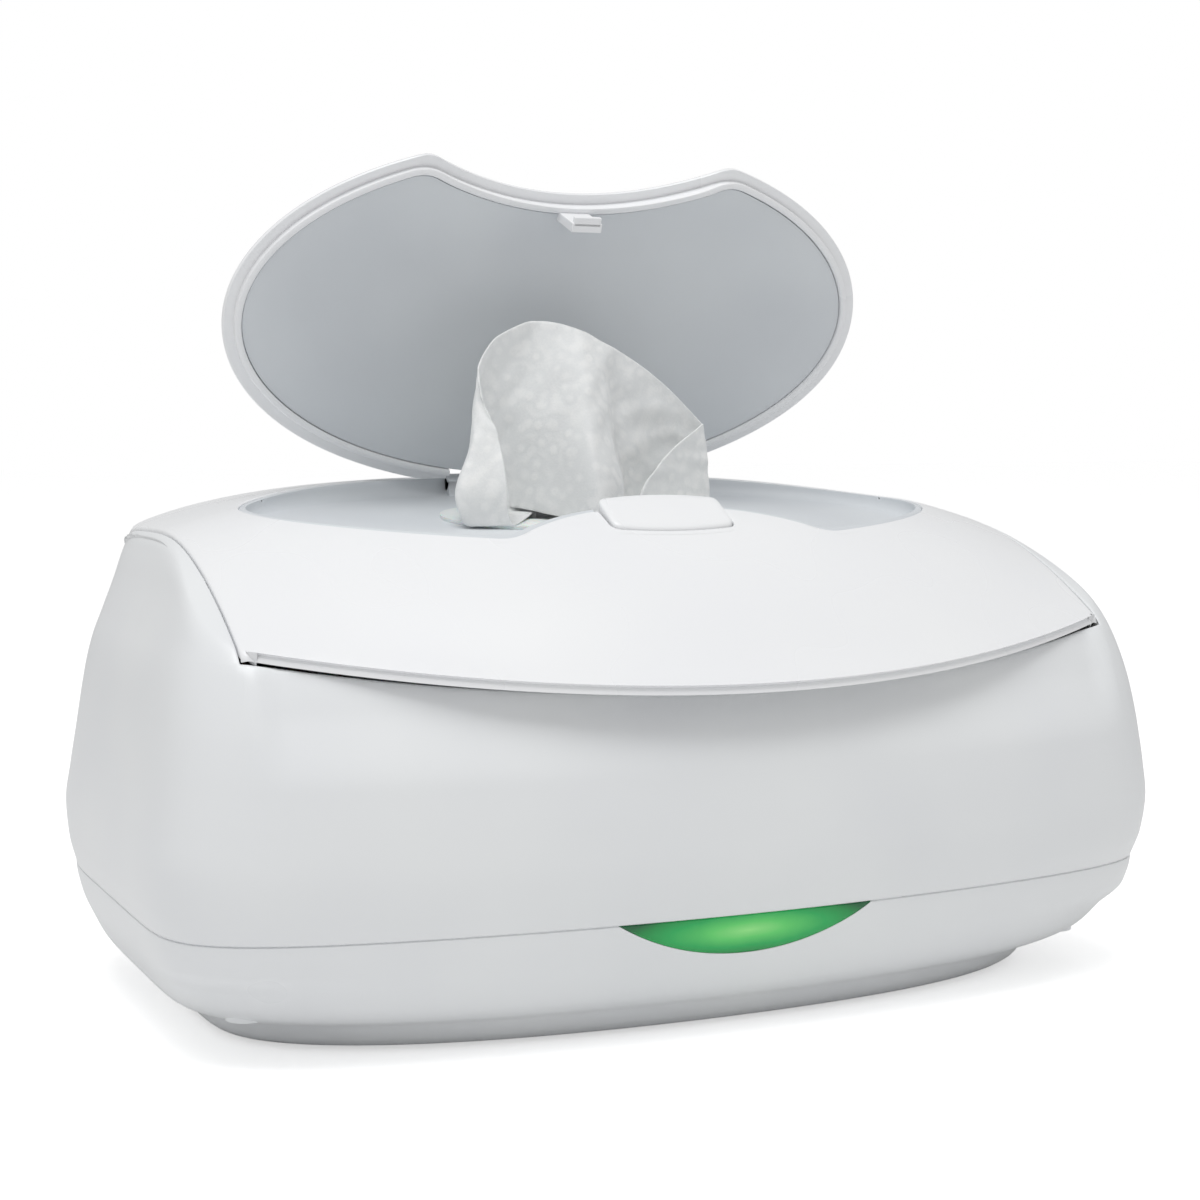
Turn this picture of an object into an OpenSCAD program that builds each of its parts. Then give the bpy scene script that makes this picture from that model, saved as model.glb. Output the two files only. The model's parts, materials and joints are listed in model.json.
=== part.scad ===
// Baby wipe warmer: a heated tub in a two-part casing, a hinged lid with a spring-loaded
// dispensing flap, and a rocking release button that latches the flap.
// Millimetres, +Z up, front towards -Y, origin on the floor under the middle of the casing.
// The flap is drawn open, as it stands when the button has released it.

/* [Casing] */
// Overall width of the casing
body_w = 310; // [280:1:340]
// Depth from the bowed front to the back wall, without the hinge barrels
body_d = 202; // [190:1:225]
// Height of the closed warmer at the crest of its lid
body_h = 151; // [146:1:160]
// Wall thickness of the moulded shells
wall = 2.8; // [2.2:0.1:3.2]
// Height of the seam between the base and the casing
seam_z = 36; // [33:1:39]
// How far the front bows out past its corners
front_bow = 19; // [12:1:24]
// How far the back bows out past its corners
back_bow = 5; // [0:1:10]
// Squareness of the front corners in plan, from an ellipse at 2 to a rectangle
plan_power = 9; // [6:0.5:10]
// Squareness of the back corners in plan
back_power = 5; // [4.5:0.5:9]
// How far the front face is scooped in under the lid's lip
scoop_depth = 3.4; // [0:0.2:5]

/* [Base] */
// How far the plinth stands in from the casing's side at the floor
plinth_inset = 26.5; // [22:0.5:34]
// Height of the plinth, where the bowl above it starts
plinth_h = 9; // [7:0.5:11]
// How far the rubber feet hold the plinth off the floor
foot_proud = 1.2; // [0.8:0.1:2]
// Diameter of each rubber foot
foot_d = 15; // [12:0.5:18]

/* [Lid] */
// Width of each cheek of the casing beside the lid
cheek_w = 23; // [20:0.5:28]
// Drop from the crest to the lid's front edge at the middle
lip_drop = 53; // [50:0.5:56]
// How much higher the front edge stands at its corners
lip_rise = 11; // [8:0.5:14]
// How far the front edge overhangs the casing at the middle
lip_overhang = 3; // [2:0.5:5]
// How far the front edge bows out past its corners
lip_bow = 35; // [28:1:38]
// How much the crest falls from the middle to the sides of the lid
crest_fall = 14; // [10:0.5:15]
// Gap between the lid and the casing
lid_gap = 0.4; // [0.3:0.05:0.6]

/* [Flap and recess] */
// Distance from each side of the lid to the flap
flap_side = 24.5; // [20:0.5:32]
// How much the flap's depth falls short of the casing's
flap_short = 82; // [78:1:90]
// Distance between the two horns of the notch
horn_w = 100; // [80:1:110]
// Depth of the notch between the horns
notch_depth = 12.6; // [8:0.2:15]
// Gap between the flap and the recess
flap_gap = 0.8; // [0.6:0.1:1.2]
// Angle through which the flap springs open
flap_swing = 69; // [60:1:72]
// Depth of the flap from its top to the edge of its inner rim
flap_t = 8; // [7:0.2:9]

/* [Tub and heater] */
// Distance from each side of the lid to the tub's mouth
tub_side = 11; // [9:0.5:20]
// How much the tub's mouth falls short of the casing's depth
tub_short = 70; // [64:1:80]
// Height of the lid's front edge over the deck that carries the tub
deck_drop = 10; // [9:0.5:12]
// Height of the underside of the tub's floor
tub_floor_z = 22; // [20:0.5:26]
// Wall thickness of the tub
tub_wall = 2; // [1.6:0.1:2.6]
// Thickness of the aluminium heat spreader under the tub
spreader_t = 2; // [1.5:0.1:2.5]
// Thickness of the heating foil
foil_t = 0.8; // [0.6:0.1:1.2]
// Thickness of the insulation under the foil
insulation_t = 6; // [4:0.5:7]

/* [Latch] */
// Width of the release button
button_w = 38; // [32:1:44]
// Depth of the release button, front to back
button_d = 15; // [13:0.5:17]
// Overlap of the button's catch over the flap's barb
latch_bite = 0.4; // [0.3:0.05:0.5]
// Play between catch and barb with the flap closed
latch_play = 0.95; // [0.9:0.05:1.2]

/* [Hinges] */
// Diameter of the lid's hinge pins
lid_pin_d = 3; // [2.5:0.1:4]
// Outer diameter of the lid's hinge barrels
lid_barrel_d = 9; // [8:0.5:10]
// Diameter of the flap's hinge pin
flap_pin_d = 2.4; // [2:0.1:3]
// Outer diameter of the flap's hinge barrels
flap_barrel_d = 5.4; // [5:0.2:6]
// Radial clearance of a pin in the barrel that turns on it
pin_fit = 0.08; // [0.04:0.01:0.1]

/* [Lamp and inlet] */
// Half of the lens's length along the seam
lens_half = 38.5; // [30:0.5:44]
// Height of the lens at its middle
lens_h = 11; // [9:0.5:12]
// Bore of the power inlet, for a 5.5 mm plug
inlet_bore = 5.6; // [5.6:0.1:6.4]

/* [Hidden] */
$fn = 48;

half_w = body_w / 2;
half_d = body_d / 2 + 1;
lid_w = body_w - 2 * cheek_w;
lip_z = body_h - lip_drop;
lip_reach = half_d + lip_overhang;
flap_w = lid_w - 2 * flap_side;
flap_d = body_d - flap_short;
tub_w = lid_w - 2 * tub_side;
tub_d = body_d - tub_short;
deck_z = lip_z - deck_drop;
plinth_half_w = half_w - plinth_inset;
rise = body_h - seam_z;

// Share of the height from seam to crest, then how far the side, the front and the back
// stand in from the casing's widest outline at that height, in millimetres
casing_stations = [
    [0.00, 2.9, 4.5, 5.0],
    [0.07, 1.1, 1.8, 2.6],
    [0.16, 0.4, 0.3, 2.0],
    [0.25, 1.9, 0.0, 2.0],
    [0.35, 3.8, 0.6, 2.6],
    [0.45, 5.6, 2.5, 3.6],
    [0.52, 7.0, 5.0, 4.6],
    [0.59, 9.0, 8.2, 5.7],
    [0.66, 12.0, 12.0, 7.0],
    [0.74, 15.4, 16.5, 8.6],
    [0.82, 18.4, 22.0, 11.0],
    [0.87, 21.0, 27.0, 13.4],
    [0.905, 28.0, 32.0, 16.0],
    [0.935, 36.0, 39.0, 19.5],
    [0.965, 49.0, 50.0, 25.0],
    [0.99, 80.0, 68.0, 33.0]
];
side_inset = [for (s = casing_stations) [s[0], s[1]]];
back_inset = [for (s = casing_stations) [s[0], s[3]]];

// A square walked counter-clockwise from its front left corner, closer at the corners,
// where the outlines turn
front_shares = [0, 0.18, 0.36, 0.54, 0.72, 0.84, 0.9, 0.95];
side_steps = 8;
back_steps = 12;
square_walk = concat(
    [for (i = [7 : -1 : 1]) [-front_shares[i], -1]],
    [for (i = [0 : 7]) [front_shares[i], -1]],
    [for (i = [0 : side_steps]) [1, -1 + 2 * i / side_steps]],
    [for (i = [1 : back_steps]) [1 - 2 * i / back_steps, 1]],
    [for (i = [1 : side_steps]) [-1, 1 - 2 * i / side_steps]]
);

// One horizontal outline: half width, depth to the front and to the back, both bowed
function plan_ring(w, front, back, power, bow_f, bow_b, z) = [
    for (p = square_walk)
        let (
            k = p.y < 0 ? power : min(power, back_power),
            s = pow(pow(abs(p.x), k) + pow(abs(p.y), k), -1 / k),
            x = p.x * s,
            y = p.y * s,
            depth = y < 0 ? front - bow_f * x * x : back - bow_b * x * x
        )
        [w * x, depth * y, z]
];

// A solid through a list of rings that all have as many points; open ends are closed
// by a fan about the first point, so the first and last rings are convex
module loft(rings) {
    n = len(rings[0]);
    m = len(rings);
    points = [for (r = rings) each r];
    faces = concat(
        [for (j = [1 : n - 2]) [0, j, j + 1]],
        [
            for (i = [0 : m - 2], j = [0 : n - 1])
                let (a = i * n + j, b = i * n + (j + 1) % n)
                each [[a, a + n, b + n], [a, b + n, b]]
        ],
        [for (j = [1 : n - 2]) [(m - 1) * n, (m - 1) * n + j + 1, (m - 1) * n + j]]
    );
    polyhedron(points, faces);
}

// The same, with both ends closed about a middle point, for outlines that are not convex
module star_loft(rings, first, last) {
    n = len(rings[0]);
    m = len(rings);
    points = concat([for (r = rings) each r], [first, last]);
    faces = concat(
        [for (j = [0 : n - 1]) [m * n, j, (j + 1) % n]],
        [
            for (i = [0 : m - 2], j = [0 : n - 1])
                let (a = i * n + j, b = i * n + (j + 1) % n)
                each [[a, a + n, b + n], [a, b + n, b]]
        ],
        [for (j = [0 : n - 1]) [m * n + 1, (m - 1) * n + (j + 1) % n, (m - 1) * n + j]]
    );
    polyhedron(points, faces);
}

// Outer faces of the casing at a height: half width, and depth to the back
function share(z) = (z - seam_z) / rise;
function side_at(z) = half_w - lookup(share(z), side_inset);
function back_at(z) = half_d - lookup(share(z), back_inset);
function back_y(x, z) =
    let (u = min(1, abs(x) / side_at(z)))
    (back_at(z) - back_bow * u * u) * pow(1 - pow(u, back_power), 1 / back_power);

// The surface that the lid, the flap and the tops of the cheeks share. It is highest on a
// line across the casing, falls forward to the lip, and flares just before it.
crest_y = 15;
lip_half = lid_w / 2;
lip_depth = 1.2;
function across(x) = (x / lip_half) * (x / lip_half);
function crest_at(x) = body_h - crest_fall * pow(across(x), 1.45);
function lip_y(x) = -lip_reach + lip_bow * across(x);
function lip_at(x) = lip_z + lip_rise * across(x);
function top_z(x) = crest_at(x) - lip_depth;
function dome(x, y) =
    y > crest_y
        ? crest_at(x) - lip_depth * pow((y - crest_y) / (back_y(x, top_z(x)) - crest_y), 2)
        : let (
            v = (crest_y - y) / (crest_y - lip_y(x)),
            power = 2.6 - 0.7 * across(x),
            flare = 0.14 * max(0, 1 - across(x))
        )
        crest_at(x) - (crest_at(x) - lip_at(x)) * ((1 + flare) * pow(v, power) - flare * pow(v, 12));

// The curved joint between the lid and the casing, an arc across the width
part_sag = lip_rise;
part_mid = lip_z - 1.8;
part_r = (lip_half * lip_half + part_sag * part_sag) / (2 * part_sag);
function part_z(x) = part_mid + part_r - sqrt(part_r * part_r - x * x);

module above_joint(gap, half) {
    intersection() {
        translate([-half, -200, part_mid - 5]) cube([2 * half, 400, 200]);
        translate([0, 200, part_mid + part_r + gap]) rotate([90, 0, 0]) cylinder(r=part_r, h=400, $fn=360);
    }
}

// The front face is scooped in under the lip, between the cheeks
function ease(t) = let (u = max(0, min(1, t))) u * u * (3 - 2 * u);
function scoop(x, z) =
    scoop_depth * ease((z - part_mid + 21) / 20) * (1 - ease((abs(x) - lip_half + 9) / 9));
function casing_ring(s, inset, drop) =
    let (
        z = seam_z + s[0] * rise,
        ring = plan_ring(
            half_w - s[1] - inset, half_d - s[2] - inset, half_d - s[3] - inset,
            plan_power, front_bow, back_bow, z
        )
    )
    [for (p = ring) let (y = p.y + (p.y < 0 ? scoop(p.x, z) : 0)) [p.x, y, min(z, dome(p.x, y)) - drop]];

// The hinge of the lid runs behind the casing's back wall, level with the joint
lid_axis_z = part_z(60) + 0.2;
lid_axis_y = back_y(60, lid_axis_z - lid_barrel_d / 2) + lid_barrel_d / 2 + 0.5;
lid_lug_x = [44, 68];
lug_w = 8;
lug_gap = 0.3;
knuckle_w = lid_lug_x[1] - lid_lug_x[0] - lug_w - 2 * lug_gap;

// The tub hangs by its flange in the deck
tub_gap = 0.4;
tub_power = 5;
flange_w = 6;
flange_t = 2.2;
function tub_outline(z, inset) =
    let (t = (deck_z - z) / (deck_z - tub_floor_z), draft = 9 * t)
    plan_ring(tub_w / 2 - draft - inset, tub_d / 2 - draft - inset, tub_d / 2 - draft - inset,
        tub_power, 0, 0, z);
function flat(ring) = [for (p = ring) [p.x, p.y]];

// Screws that hold the casing down on the base, and the wells they sit in
screw_x = half_w - 27;
screw_y = 56;
screw_d = 3.2;
screw_head_d = 6.5;
screw_ledge_z = 21;
boss_top_z = seam_z + 16;
module at_screws() {
    for (x = [-screw_x, screw_x], y = [-screw_y, screw_y]) translate([x, y, 0]) children();
}

// What is left standing inside the casing: the deck, and a wall along each cheek
module deck_and_cheek_walls() {
    cheek = lip_half + lid_gap;
    translate([-cheek - wall, -200, deck_z - wall]) cube([2 * (cheek + wall), 400, wall]);
    for (side = [-1, 1])
        translate([side * (cheek + wall / 2) - wall / 2, -200, deck_z - wall]) cube([wall, 400, 100]);
}

module lug_section(x, barrel_y, barrel_z) {
    wall_y = back_y(60, deck_z) - wall / 2;
    translate([x, 0, 0]) rotate([90, 0, 90]) linear_extrude(lug_w) union() {
        translate([barrel_y, barrel_z]) circle(d=lid_barrel_d);
        polygon([
            [wall_y, barrel_z - 16], [barrel_y + lid_barrel_d / 2, barrel_z],
            [barrel_y, barrel_z], [barrel_y - 1, barrel_z - 2.4], [wall_y, barrel_z - 2.4]
        ]);
    }
}

module casing() {
    color("white")
    difference() {
        union() {
            difference() {
                loft([for (s = casing_stations) casing_ring(s, 0, 0)]);
                above_joint(0, lip_half + lid_gap);
                difference() {
                    loft(concat(
                        [plan_ring(half_w - 4.5 - wall, half_d - 4.5 - wall, half_d - 5 - wall,
                            plan_power, front_bow, back_bow, seam_z - 5)],
                        [for (s = casing_stations) casing_ring(s, wall, wall)]
                    ));
                    deck_and_cheek_walls();
                }
            }
            for (x = lid_lug_x, side = [-1, 1])
                lug_section(side * x - (side < 0 ? lug_w : 0), lid_axis_y, lid_axis_z);
            at_screws() {
                translate([0, 0, seam_z + 0.2]) cylinder(d=10, h=boss_top_z - seam_z);
            }
            intersection() {
                for (x = [-1, 1], y = [-screw_y, screw_y])
                    translate([x * (screw_x + 14), y, seam_z + 0.2 + (boss_top_z - seam_z) / 2])
                        cube([28, 2.4, boss_top_z - seam_z], center=true);
                loft([for (i = [0 : 5]) casing_ring(casing_stations[i], 1.2, 0)]);
            }
        }
        translate([0, 0, deck_z - 10]) linear_extrude(20) polygon(flat(tub_outline(deck_z, -tub_gap)));
        translate([-100, lid_axis_y, lid_axis_z]) rotate([0, 90, 0]) cylinder(d=lid_pin_d, h=200);
        at_screws() {
            translate([0, 0, seam_z]) cylinder(d=screw_d - 0.5, h=boss_top_z - seam_z - 3);
        }
    }
}

// Base: a shallow bowl with a plinth under it, in stations of height, then half width,
// depth to the front, depth to the back, squareness and bow
base_stations = [
    [foot_proud, plinth_half_w, 73, 72, 4.5, 17],
    [foot_proud + 1.4, plinth_half_w + 1.6, 75, 73.4, 4.5, 17],
    [plinth_h, plinth_half_w + 3.4, 81.5, 78, 4.8, 17.5],
    [plinth_h + 1.6, half_w - 16, 84, 81, 5.4, 18],
    [plinth_h + 5, half_w - 11, 88, 86, 6, 18.5],
    [plinth_h + 12, half_w - 7.0, 92.8, 91.5, 6.8, front_bow],
    [plinth_h + 19, half_w - 4.2, 95.8, 95, plan_power, front_bow],
    [seam_z - 0.5, half_w - 2.9, 97.4, 97, plan_power, front_bow],
    [seam_z - 0.01, half_w - 3.4, 96.9, 96.5, plan_power, front_bow]
];
base_floor = 2.6;
depth_scale = half_d / 102;
function base_ring(s, inset) = plan_ring(
    s[1] - inset, s[2] * depth_scale - inset, s[3] * depth_scale - inset, s[4], s[5], back_bow, s[0]
);

// The lens is the part of the bowl between the seam and an arc below it
lens_r = (lens_half * lens_half + lens_h * lens_h) / (2 * lens_h);
module lens_shape(grow) {
    intersection() {
        translate([-100, seam_z - 60]) square([200, 60 - 0.01]);
        translate([0, seam_z - lens_h + lens_r]) circle(r=lens_r + grow, $fn=240);
    }
}
module lens_slab(grow, from_y, to_y) {
    translate([0, to_y, 0]) rotate([90, 0, 0]) linear_extrude(to_y - from_y) lens_shape(grow);
}

// Power inlet in the back wall of the base, on the right seen from the front
inlet_x = 70;
inlet_z = 22;
inlet_d = 11;
inlet_len = 14;
inlet_face_y = 87;

// Rubber feet, let into the plinth
foot_sink = 1.2;
foot_places = [[-98, -42], [98, -42], [-98, 46], [98, 46]];

module base_shell() {
    color("white")
    difference() {
        union() {
            difference() {
                loft(concat(
                    [for (s = base_stations) base_ring(s, 0)],
                    [for (i = [len(base_stations) - 1 : -1 : 3]) base_ring(base_stations[i], wall)],
                    [plan_ring(plinth_half_w, 78, 75, 4.8, 17, back_bow, plinth_h + wall),
                     plan_ring(plinth_half_w - wall, 71, 69, 4.5, 17, back_bow, foot_proud + base_floor)]
                ));
                lens_slab(0.15, -120, -60);
            }
            intersection() {
                union() {
                    at_screws() {
                        cylinder(d=screw_head_d + 4.6, h=screw_ledge_z + 2.5);
                        cylinder(d=9, h=seam_z);
                    }
                    translate([inlet_x, inlet_face_y, inlet_z]) rotate([90, 0, 0])
                        cylinder(d=inlet_d + 4, h=7);
                    for (side = [-1, 1])
                        translate([side * (board_w / 2 + 1.3) - 1.1, board_y - 12, foot_proud])
                            cube([2.2, 16, board_z + board_h - 4]);
                }
                loft([for (s = base_stations) base_ring(s, 0.4)]);
            }
            for (x = [-70, 0, 70], y = [-40, 40])
                translate([x - 1.2, y - 9, foot_proud + base_floor - 0.4])
                    cube([2.4, 18, insulation_z - foot_proud - base_floor + 0.4]);
        }
        at_screws() {
            translate([0, 0, -1]) cylinder(d=screw_head_d + 0.8, h=screw_ledge_z + 1);
            cylinder(d=screw_d + 0.4, h=60);
        }
        translate([inlet_x, 120, inlet_z]) rotate([90, 0, 0]) cylinder(d=inlet_d + 5, h=120 - inlet_face_y);
        translate([inlet_x, 120, inlet_z]) rotate([90, 0, 0]) cylinder(d=inlet_d + 0.2, h=60);
        for (p = foot_places) translate([p.x, p.y, 0]) cylinder(d=foot_d + 0.2, h=foot_proud + foot_sink);
    }
}

module rubber_feet() {
    color("dimgray")
    for (p = foot_places) translate([p.x, p.y, 0]) {
        cylinder(d1=foot_d - 1.6, d2=foot_d, h=0.8);
        translate([0, 0, 0.8]) cylinder(d=foot_d, h=foot_proud + foot_sink - 0.8);
    }
}

module base_screws() {
    color("silver")
    at_screws() {
        translate([0, 0, screw_ledge_z - 2.4]) difference() {
            cylinder(d=screw_head_d, h=2.4);
            for (turn = [0, 90]) rotate([0, 0, turn]) translate([-2, -0.5, -1]) cube([4, 1, 2.2]);
        }
        translate([0, 0, screw_ledge_z]) cylinder(d=screw_d - 0.5, h=boss_top_z - screw_ledge_z - 5);
    }
}

// The heater stack hangs under the tub's floor: spreader, foil, insulation
heater_w = tub_w - 42;
heater_d = tub_d - 36;
spreader_z = tub_floor_z - spreader_t;
foil_z = spreader_z - foil_t;
insulation_z = foil_z - insulation_t;
sensor_x = 52;
fuse_x = 20;
module heater_sheet(w, d, corner, z, t) {
    translate([0, 0, z]) linear_extrude(t) union() {
        square([w - 2 * corner, d], center=true);
        square([w, d - 2 * corner], center=true);
        for (x = [-1, 1], y = [-1, 1])
            translate([x * (w / 2 - corner), y * (d / 2 - corner)]) circle(corner);
    }
}
module heat_spreader() {
    color("silver") heater_sheet(heater_w + 8, heater_d + 8, 14, spreader_z, spreader_t);
}
module sensor_holes(z, t) {
    translate([sensor_x, 0, z - 1]) cylinder(d=17, h=t + 2);
    translate([fuse_x - 6.5, -2.6, z - 1]) cube([13, 5.2, t + 2]);
}
module heating_foil() {
    color("goldenrod")
    difference() {
        heater_sheet(heater_w, heater_d, 12, foil_z, foil_t);
        sensor_holes(foil_z, foil_t);
    }
}
module insulation_pad() {
    color("lightyellow")
    difference() {
        heater_sheet(heater_w, heater_d, 12, insulation_z, insulation_t);
        sensor_holes(insulation_z, insulation_t);
    }
}
module thermostat() {
    color("dimgray") translate([sensor_x, 0, spreader_z]) mirror([0, 0, 1]) {
        cylinder(d=16, h=1.2);
        cylinder(d=13, h=6);
        for (x = [-1, 1]) translate([x * 4 - 1.2, -0.4, 5]) cube([2.4, 0.8, 5]);
    }
}
module thermal_fuse() {
    color("silver") translate([fuse_x, 0, spreader_z - 2]) rotate([0, 90, 0]) {
        translate([0, 0, -4.5]) cylinder(d=4, h=9);
        translate([0, 0, -6]) cylinder(d=1, h=12);
    }
}

module tub() {
    color("whitesmoke")
    loft(concat(
        [tub_outline(tub_floor_z, 5)],
        [for (z = [tub_floor_z + 4, tub_floor_z + 30, deck_z]) tub_outline(z, 0)],
        [
            for (s = [[0, flange_w], [flange_t, flange_w], [flange_t, -tub_wall - 1.2]])
                plan_ring(tub_w / 2 + s[1], tub_d / 2 + s[1], tub_d / 2 + s[1],
                    tub_power, 0, 0, deck_z + s[0])
        ],
        [for (z = [deck_z, tub_floor_z + 30, tub_floor_z + 6]) tub_outline(z, tub_wall)],
        [tub_outline(tub_floor_z + tub_wall, tub_wall + 4)]
    ));
}
seal_h = 2.4;
module tub_seal() {
    color("gray")
    difference() {
        translate([0, 0, deck_z + flange_t]) linear_extrude(seal_h)
            polygon(flat(tub_outline(deck_z, -flange_w + 0.6)));
        translate([0, 0, deck_z + flange_t - 1]) linear_extrude(seal_h + 2)
            polygon(flat(tub_outline(deck_z, -1.6)));
    }
}

// Foam pad that is wetted to keep the wipes moist: crowned, with drawn-in sides
pad_w = tub_w - 52;
pad_d = tub_d - 36;
pad_h = 14;
module moisture_pad() {
    floor_z = tub_floor_z + tub_wall + 0.3;
    color("palegreen")
    loft([
        for (s = [[0, 3], [0.18, 0.4], [0.5, 0], [0.78, 1.6], [0.9, 5], [0.97, 16], [1, 34]])
            plan_ring(pad_w / 2 - s[1], pad_d / 2 - s[1], pad_d / 2 - s[1], 6, 2, 2, floor_z + s[0] * pad_h)
    ]);
}

// Lamp: a board across the front of the base, its lamps, a light guide and the lens
board_w = 72;
board_h = 20;
board_t = 1.6;
board_y = -76;
board_z = 13;
module control_board() {
    color("darkgreen") translate([-board_w / 2, board_y, board_z]) cube([board_w, board_t, board_h]);
    color("black") translate([-26, board_y + board_t, board_z + 5]) cube([9, 2, 9]);
    color("tan") translate([10, board_y + board_t, board_z + 5]) cube([14, 4, 8]);
}
led_x = [-18, 0, 18];
module board_leds() {
    color("honeydew")
    for (x = led_x) translate([x, board_y, board_z + 15]) rotate([90, 0, 0]) {
        cylinder(d=5.6, h=1);
        cylinder(d=5, h=4);
        translate([0, 0, 4]) sphere(d=5);
    }
}
guide_y = board_y - 3.6;
module light_guide() {
    color("aliceblue")
    difference() {
        translate([-lens_half + 8, guide_y - 4, board_z + 11]) cube([2 * (lens_half - 8), 4, 8.5]);
        for (x = led_x) translate([x, guide_y + 1, board_z + 15]) rotate([90, 0, 0]) cylinder(d=5.3, h=4.2);
    }
}
module lamp_lens() {
    color([0.1, 0.75, 0.35])
    difference() {
        intersection() {
            lens_slab(0, -120, -60);
            loft([for (i = [1 : len(base_stations) - 1]) base_ring(base_stations[i], 0)]);
        }
        loft([for (i = [1 : len(base_stations) - 1]) base_ring(base_stations[i], wall + 0.8)]);
    }
}

module power_inlet() {
    color("black")
    translate([inlet_x, inlet_face_y + 0.6, inlet_z]) rotate([90, 0, 0]) {
        difference() {
            union() {
                cylinder(d=inlet_d, h=inlet_len);
                cylinder(d=inlet_d + 2.4, h=0.6);
                translate([-5, -5, 9]) cube([10, 10, inlet_len - 7]);
            }
            translate([0, 0, -1]) cylinder(d=inlet_bore, h=10);
        }
        cylinder(d=2, h=9.5);
    }
}

// A wire: eight-sided rings along a path, each in the plane that halves the bend
module wire(path, d) {
    n = len(path);
    function along(i) = unit(unit(path[min(n - 1, i + 1)] - path[i == n - 1 ? i - 1 : i])
        + unit(path[i == 0 ? 1 : i] - path[max(0, i - 1)]));
    loft([
        for (i = [0 : n - 1])
            let (
                t = along(i),
                side = unit(cross(t, [0.13, 0.2, 1])),
                up = cross(side, t)
            )
            [for (k = [0 : 7]) path[i] + d / 2 * (up * cos(-k * 45) + side * sin(-k * 45))]
    ]);
}
wire_d = 2;
inlet_end_y = inlet_face_y + 0.6 - inlet_len - 2.2;
module wiring() {
    color("firebrick") wire([
        [inlet_x - 3, inlet_end_y, inlet_z], [inlet_x - 3, inlet_end_y - 3, inlet_z], [inlet_x + 4, 64, 17],
        [heater_w / 2 + 11, 52, 16], [heater_w / 2 + 11, -48, 16], [40, -64, 18],
        [22, board_y + 9, 21], [22, board_y + 5.8, 21]
    ], wire_d);
    color("black") wire([
        [inlet_x + 3, inlet_end_y, inlet_z], [inlet_x + 3, inlet_end_y - 2, inlet_z], [inlet_x + 12, 67, 14],
        [heater_w / 2 + 15, 54, 13], [heater_w / 2 + 15, -50, 13], [44, -68, 16],
        [26, board_y + 11, 18], [19, board_y + 9, 19], [19, board_y + 5.8, 19]
    ], wire_d);
    color("white") wire([
        [sensor_x + 4, 0, spreader_z - 10.1], [sensor_x + 4, -1, spreader_z - 11.5], [sensor_x + 2, -20, 7.5],
        [34, -58, 9], [15.5, board_y + 9.5, 21], [15.5, board_y + 5.8, 21]
    ], wire_d);
    color("white") wire([
        [sensor_x - 4, 0, spreader_z - 10.1], [sensor_x - 4, -1, spreader_z - 11.5], [fuse_x + 8, -12, 8],
        [fuse_x + 8, -54, 8], [-10, -64, 12], [-21.5, board_y + 9, 22], [-21.5, board_y + 3.8, 22]
    ], wire_d);
}

// Lid: sections across the width, each rising up the back, over the crest and down to
// the lip, with the curved joint as its underside
lid_columns = 26;
back_shares = [0, 0.12, 0.25, 0.4, 0.55, 0.68, 0.79, 0.87, 0.93, 0.97, 1];
lip_shares = [0.1, 0.2, 0.3, 0.4, 0.49, 0.58, 0.66, 0.74, 0.81, 0.87, 0.92, 0.96, 0.985, 1];
function lid_section(x, inset, low, lip) =
    let (
        high = top_z(x) - inset,
        back_top = back_y(x, high + inset) - inset,
        front_end = lip_y(x) + lip
    )
    concat(
        [for (e = back_shares) let (z = low + (high - low) * e) [x, back_y(x, z) - inset, z]],
        [for (e = [0.25, 0.5, 0.75, 1])
            let (y = back_top + (crest_y - back_top) * e) [x, y, dome(x, y) - inset]],
        [for (v = lip_shares)
            let (y = crest_y + (front_end - crest_y) * v) [x, y, dome(x, y) - inset]],
        [[x, front_end + 0.8, low]]
    );
module lid_skin() {
    difference() {
        loft([for (i = [0 : lid_columns])
            let (x = -lip_half + i * 2 * lip_half / lid_columns)
            lid_section(x, 0, part_z(x) + lid_gap, 0)]);
        loft([for (i = [0 : lid_columns])
            let (x = (-lip_half + i * 2 * lip_half / lid_columns) * (lip_half - wall) / lip_half)
            lid_section(x, wall, part_z(x) - 8, 2.4)]);
    }
}

// The flap is an ellipse with a notch in its front for the release button
flap_mid_y = crest_y - 10;
flap_a = flap_w / 2;
flap_b = flap_d / 2;
horn_x = horn_w / 2;
horn_turn = acos(horn_x / flap_a);
notch_r = (horn_x * horn_x + notch_depth * notch_depth) / (2 * notch_depth);
notch_mid_y = flap_mid_y - flap_b * sin(horn_turn) + notch_depth;
notch_turn = asin(horn_x / notch_r);
rim_steps = 44;
notch_steps = 14;
flap_outline = concat(
    [for (i = [0 : rim_steps])
        let (t = -horn_turn + i * (180 + 2 * horn_turn) / rim_steps)
        [flap_a * cos(t), flap_mid_y + flap_b * sin(t)]],
    [for (i = [1 : notch_steps - 1])
        let (t = notch_turn - i * 2 * notch_turn / notch_steps)
        [-notch_r * sin(t), notch_mid_y - notch_r * (1 - cos(t))]]
);
star = [0, flap_mid_y + 20];

// Outline moved outwards by a distance, or inwards by a negative one
function unit(v) = v / norm(v);
function outward(a, b) = unit([b.y - a.y, a.x - b.x]);
function grow(line, d) = [
    for (i = [0 : len(line) - 1])
        let (
            n = len(line),
            a = outward(line[(i + n - 1) % n], line[i]),
            b = outward(line[i], line[(i + 1) % n])
        )
        line[i] + (a + b) * d / (1 + a * b)
];
function shrink(line, k) = [for (p = line) star + (p - star) * k];
function on_dome(line, drop) = [for (p = line) [p.x, p.y, dome(p.x, p.y) - drop]];

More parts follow.
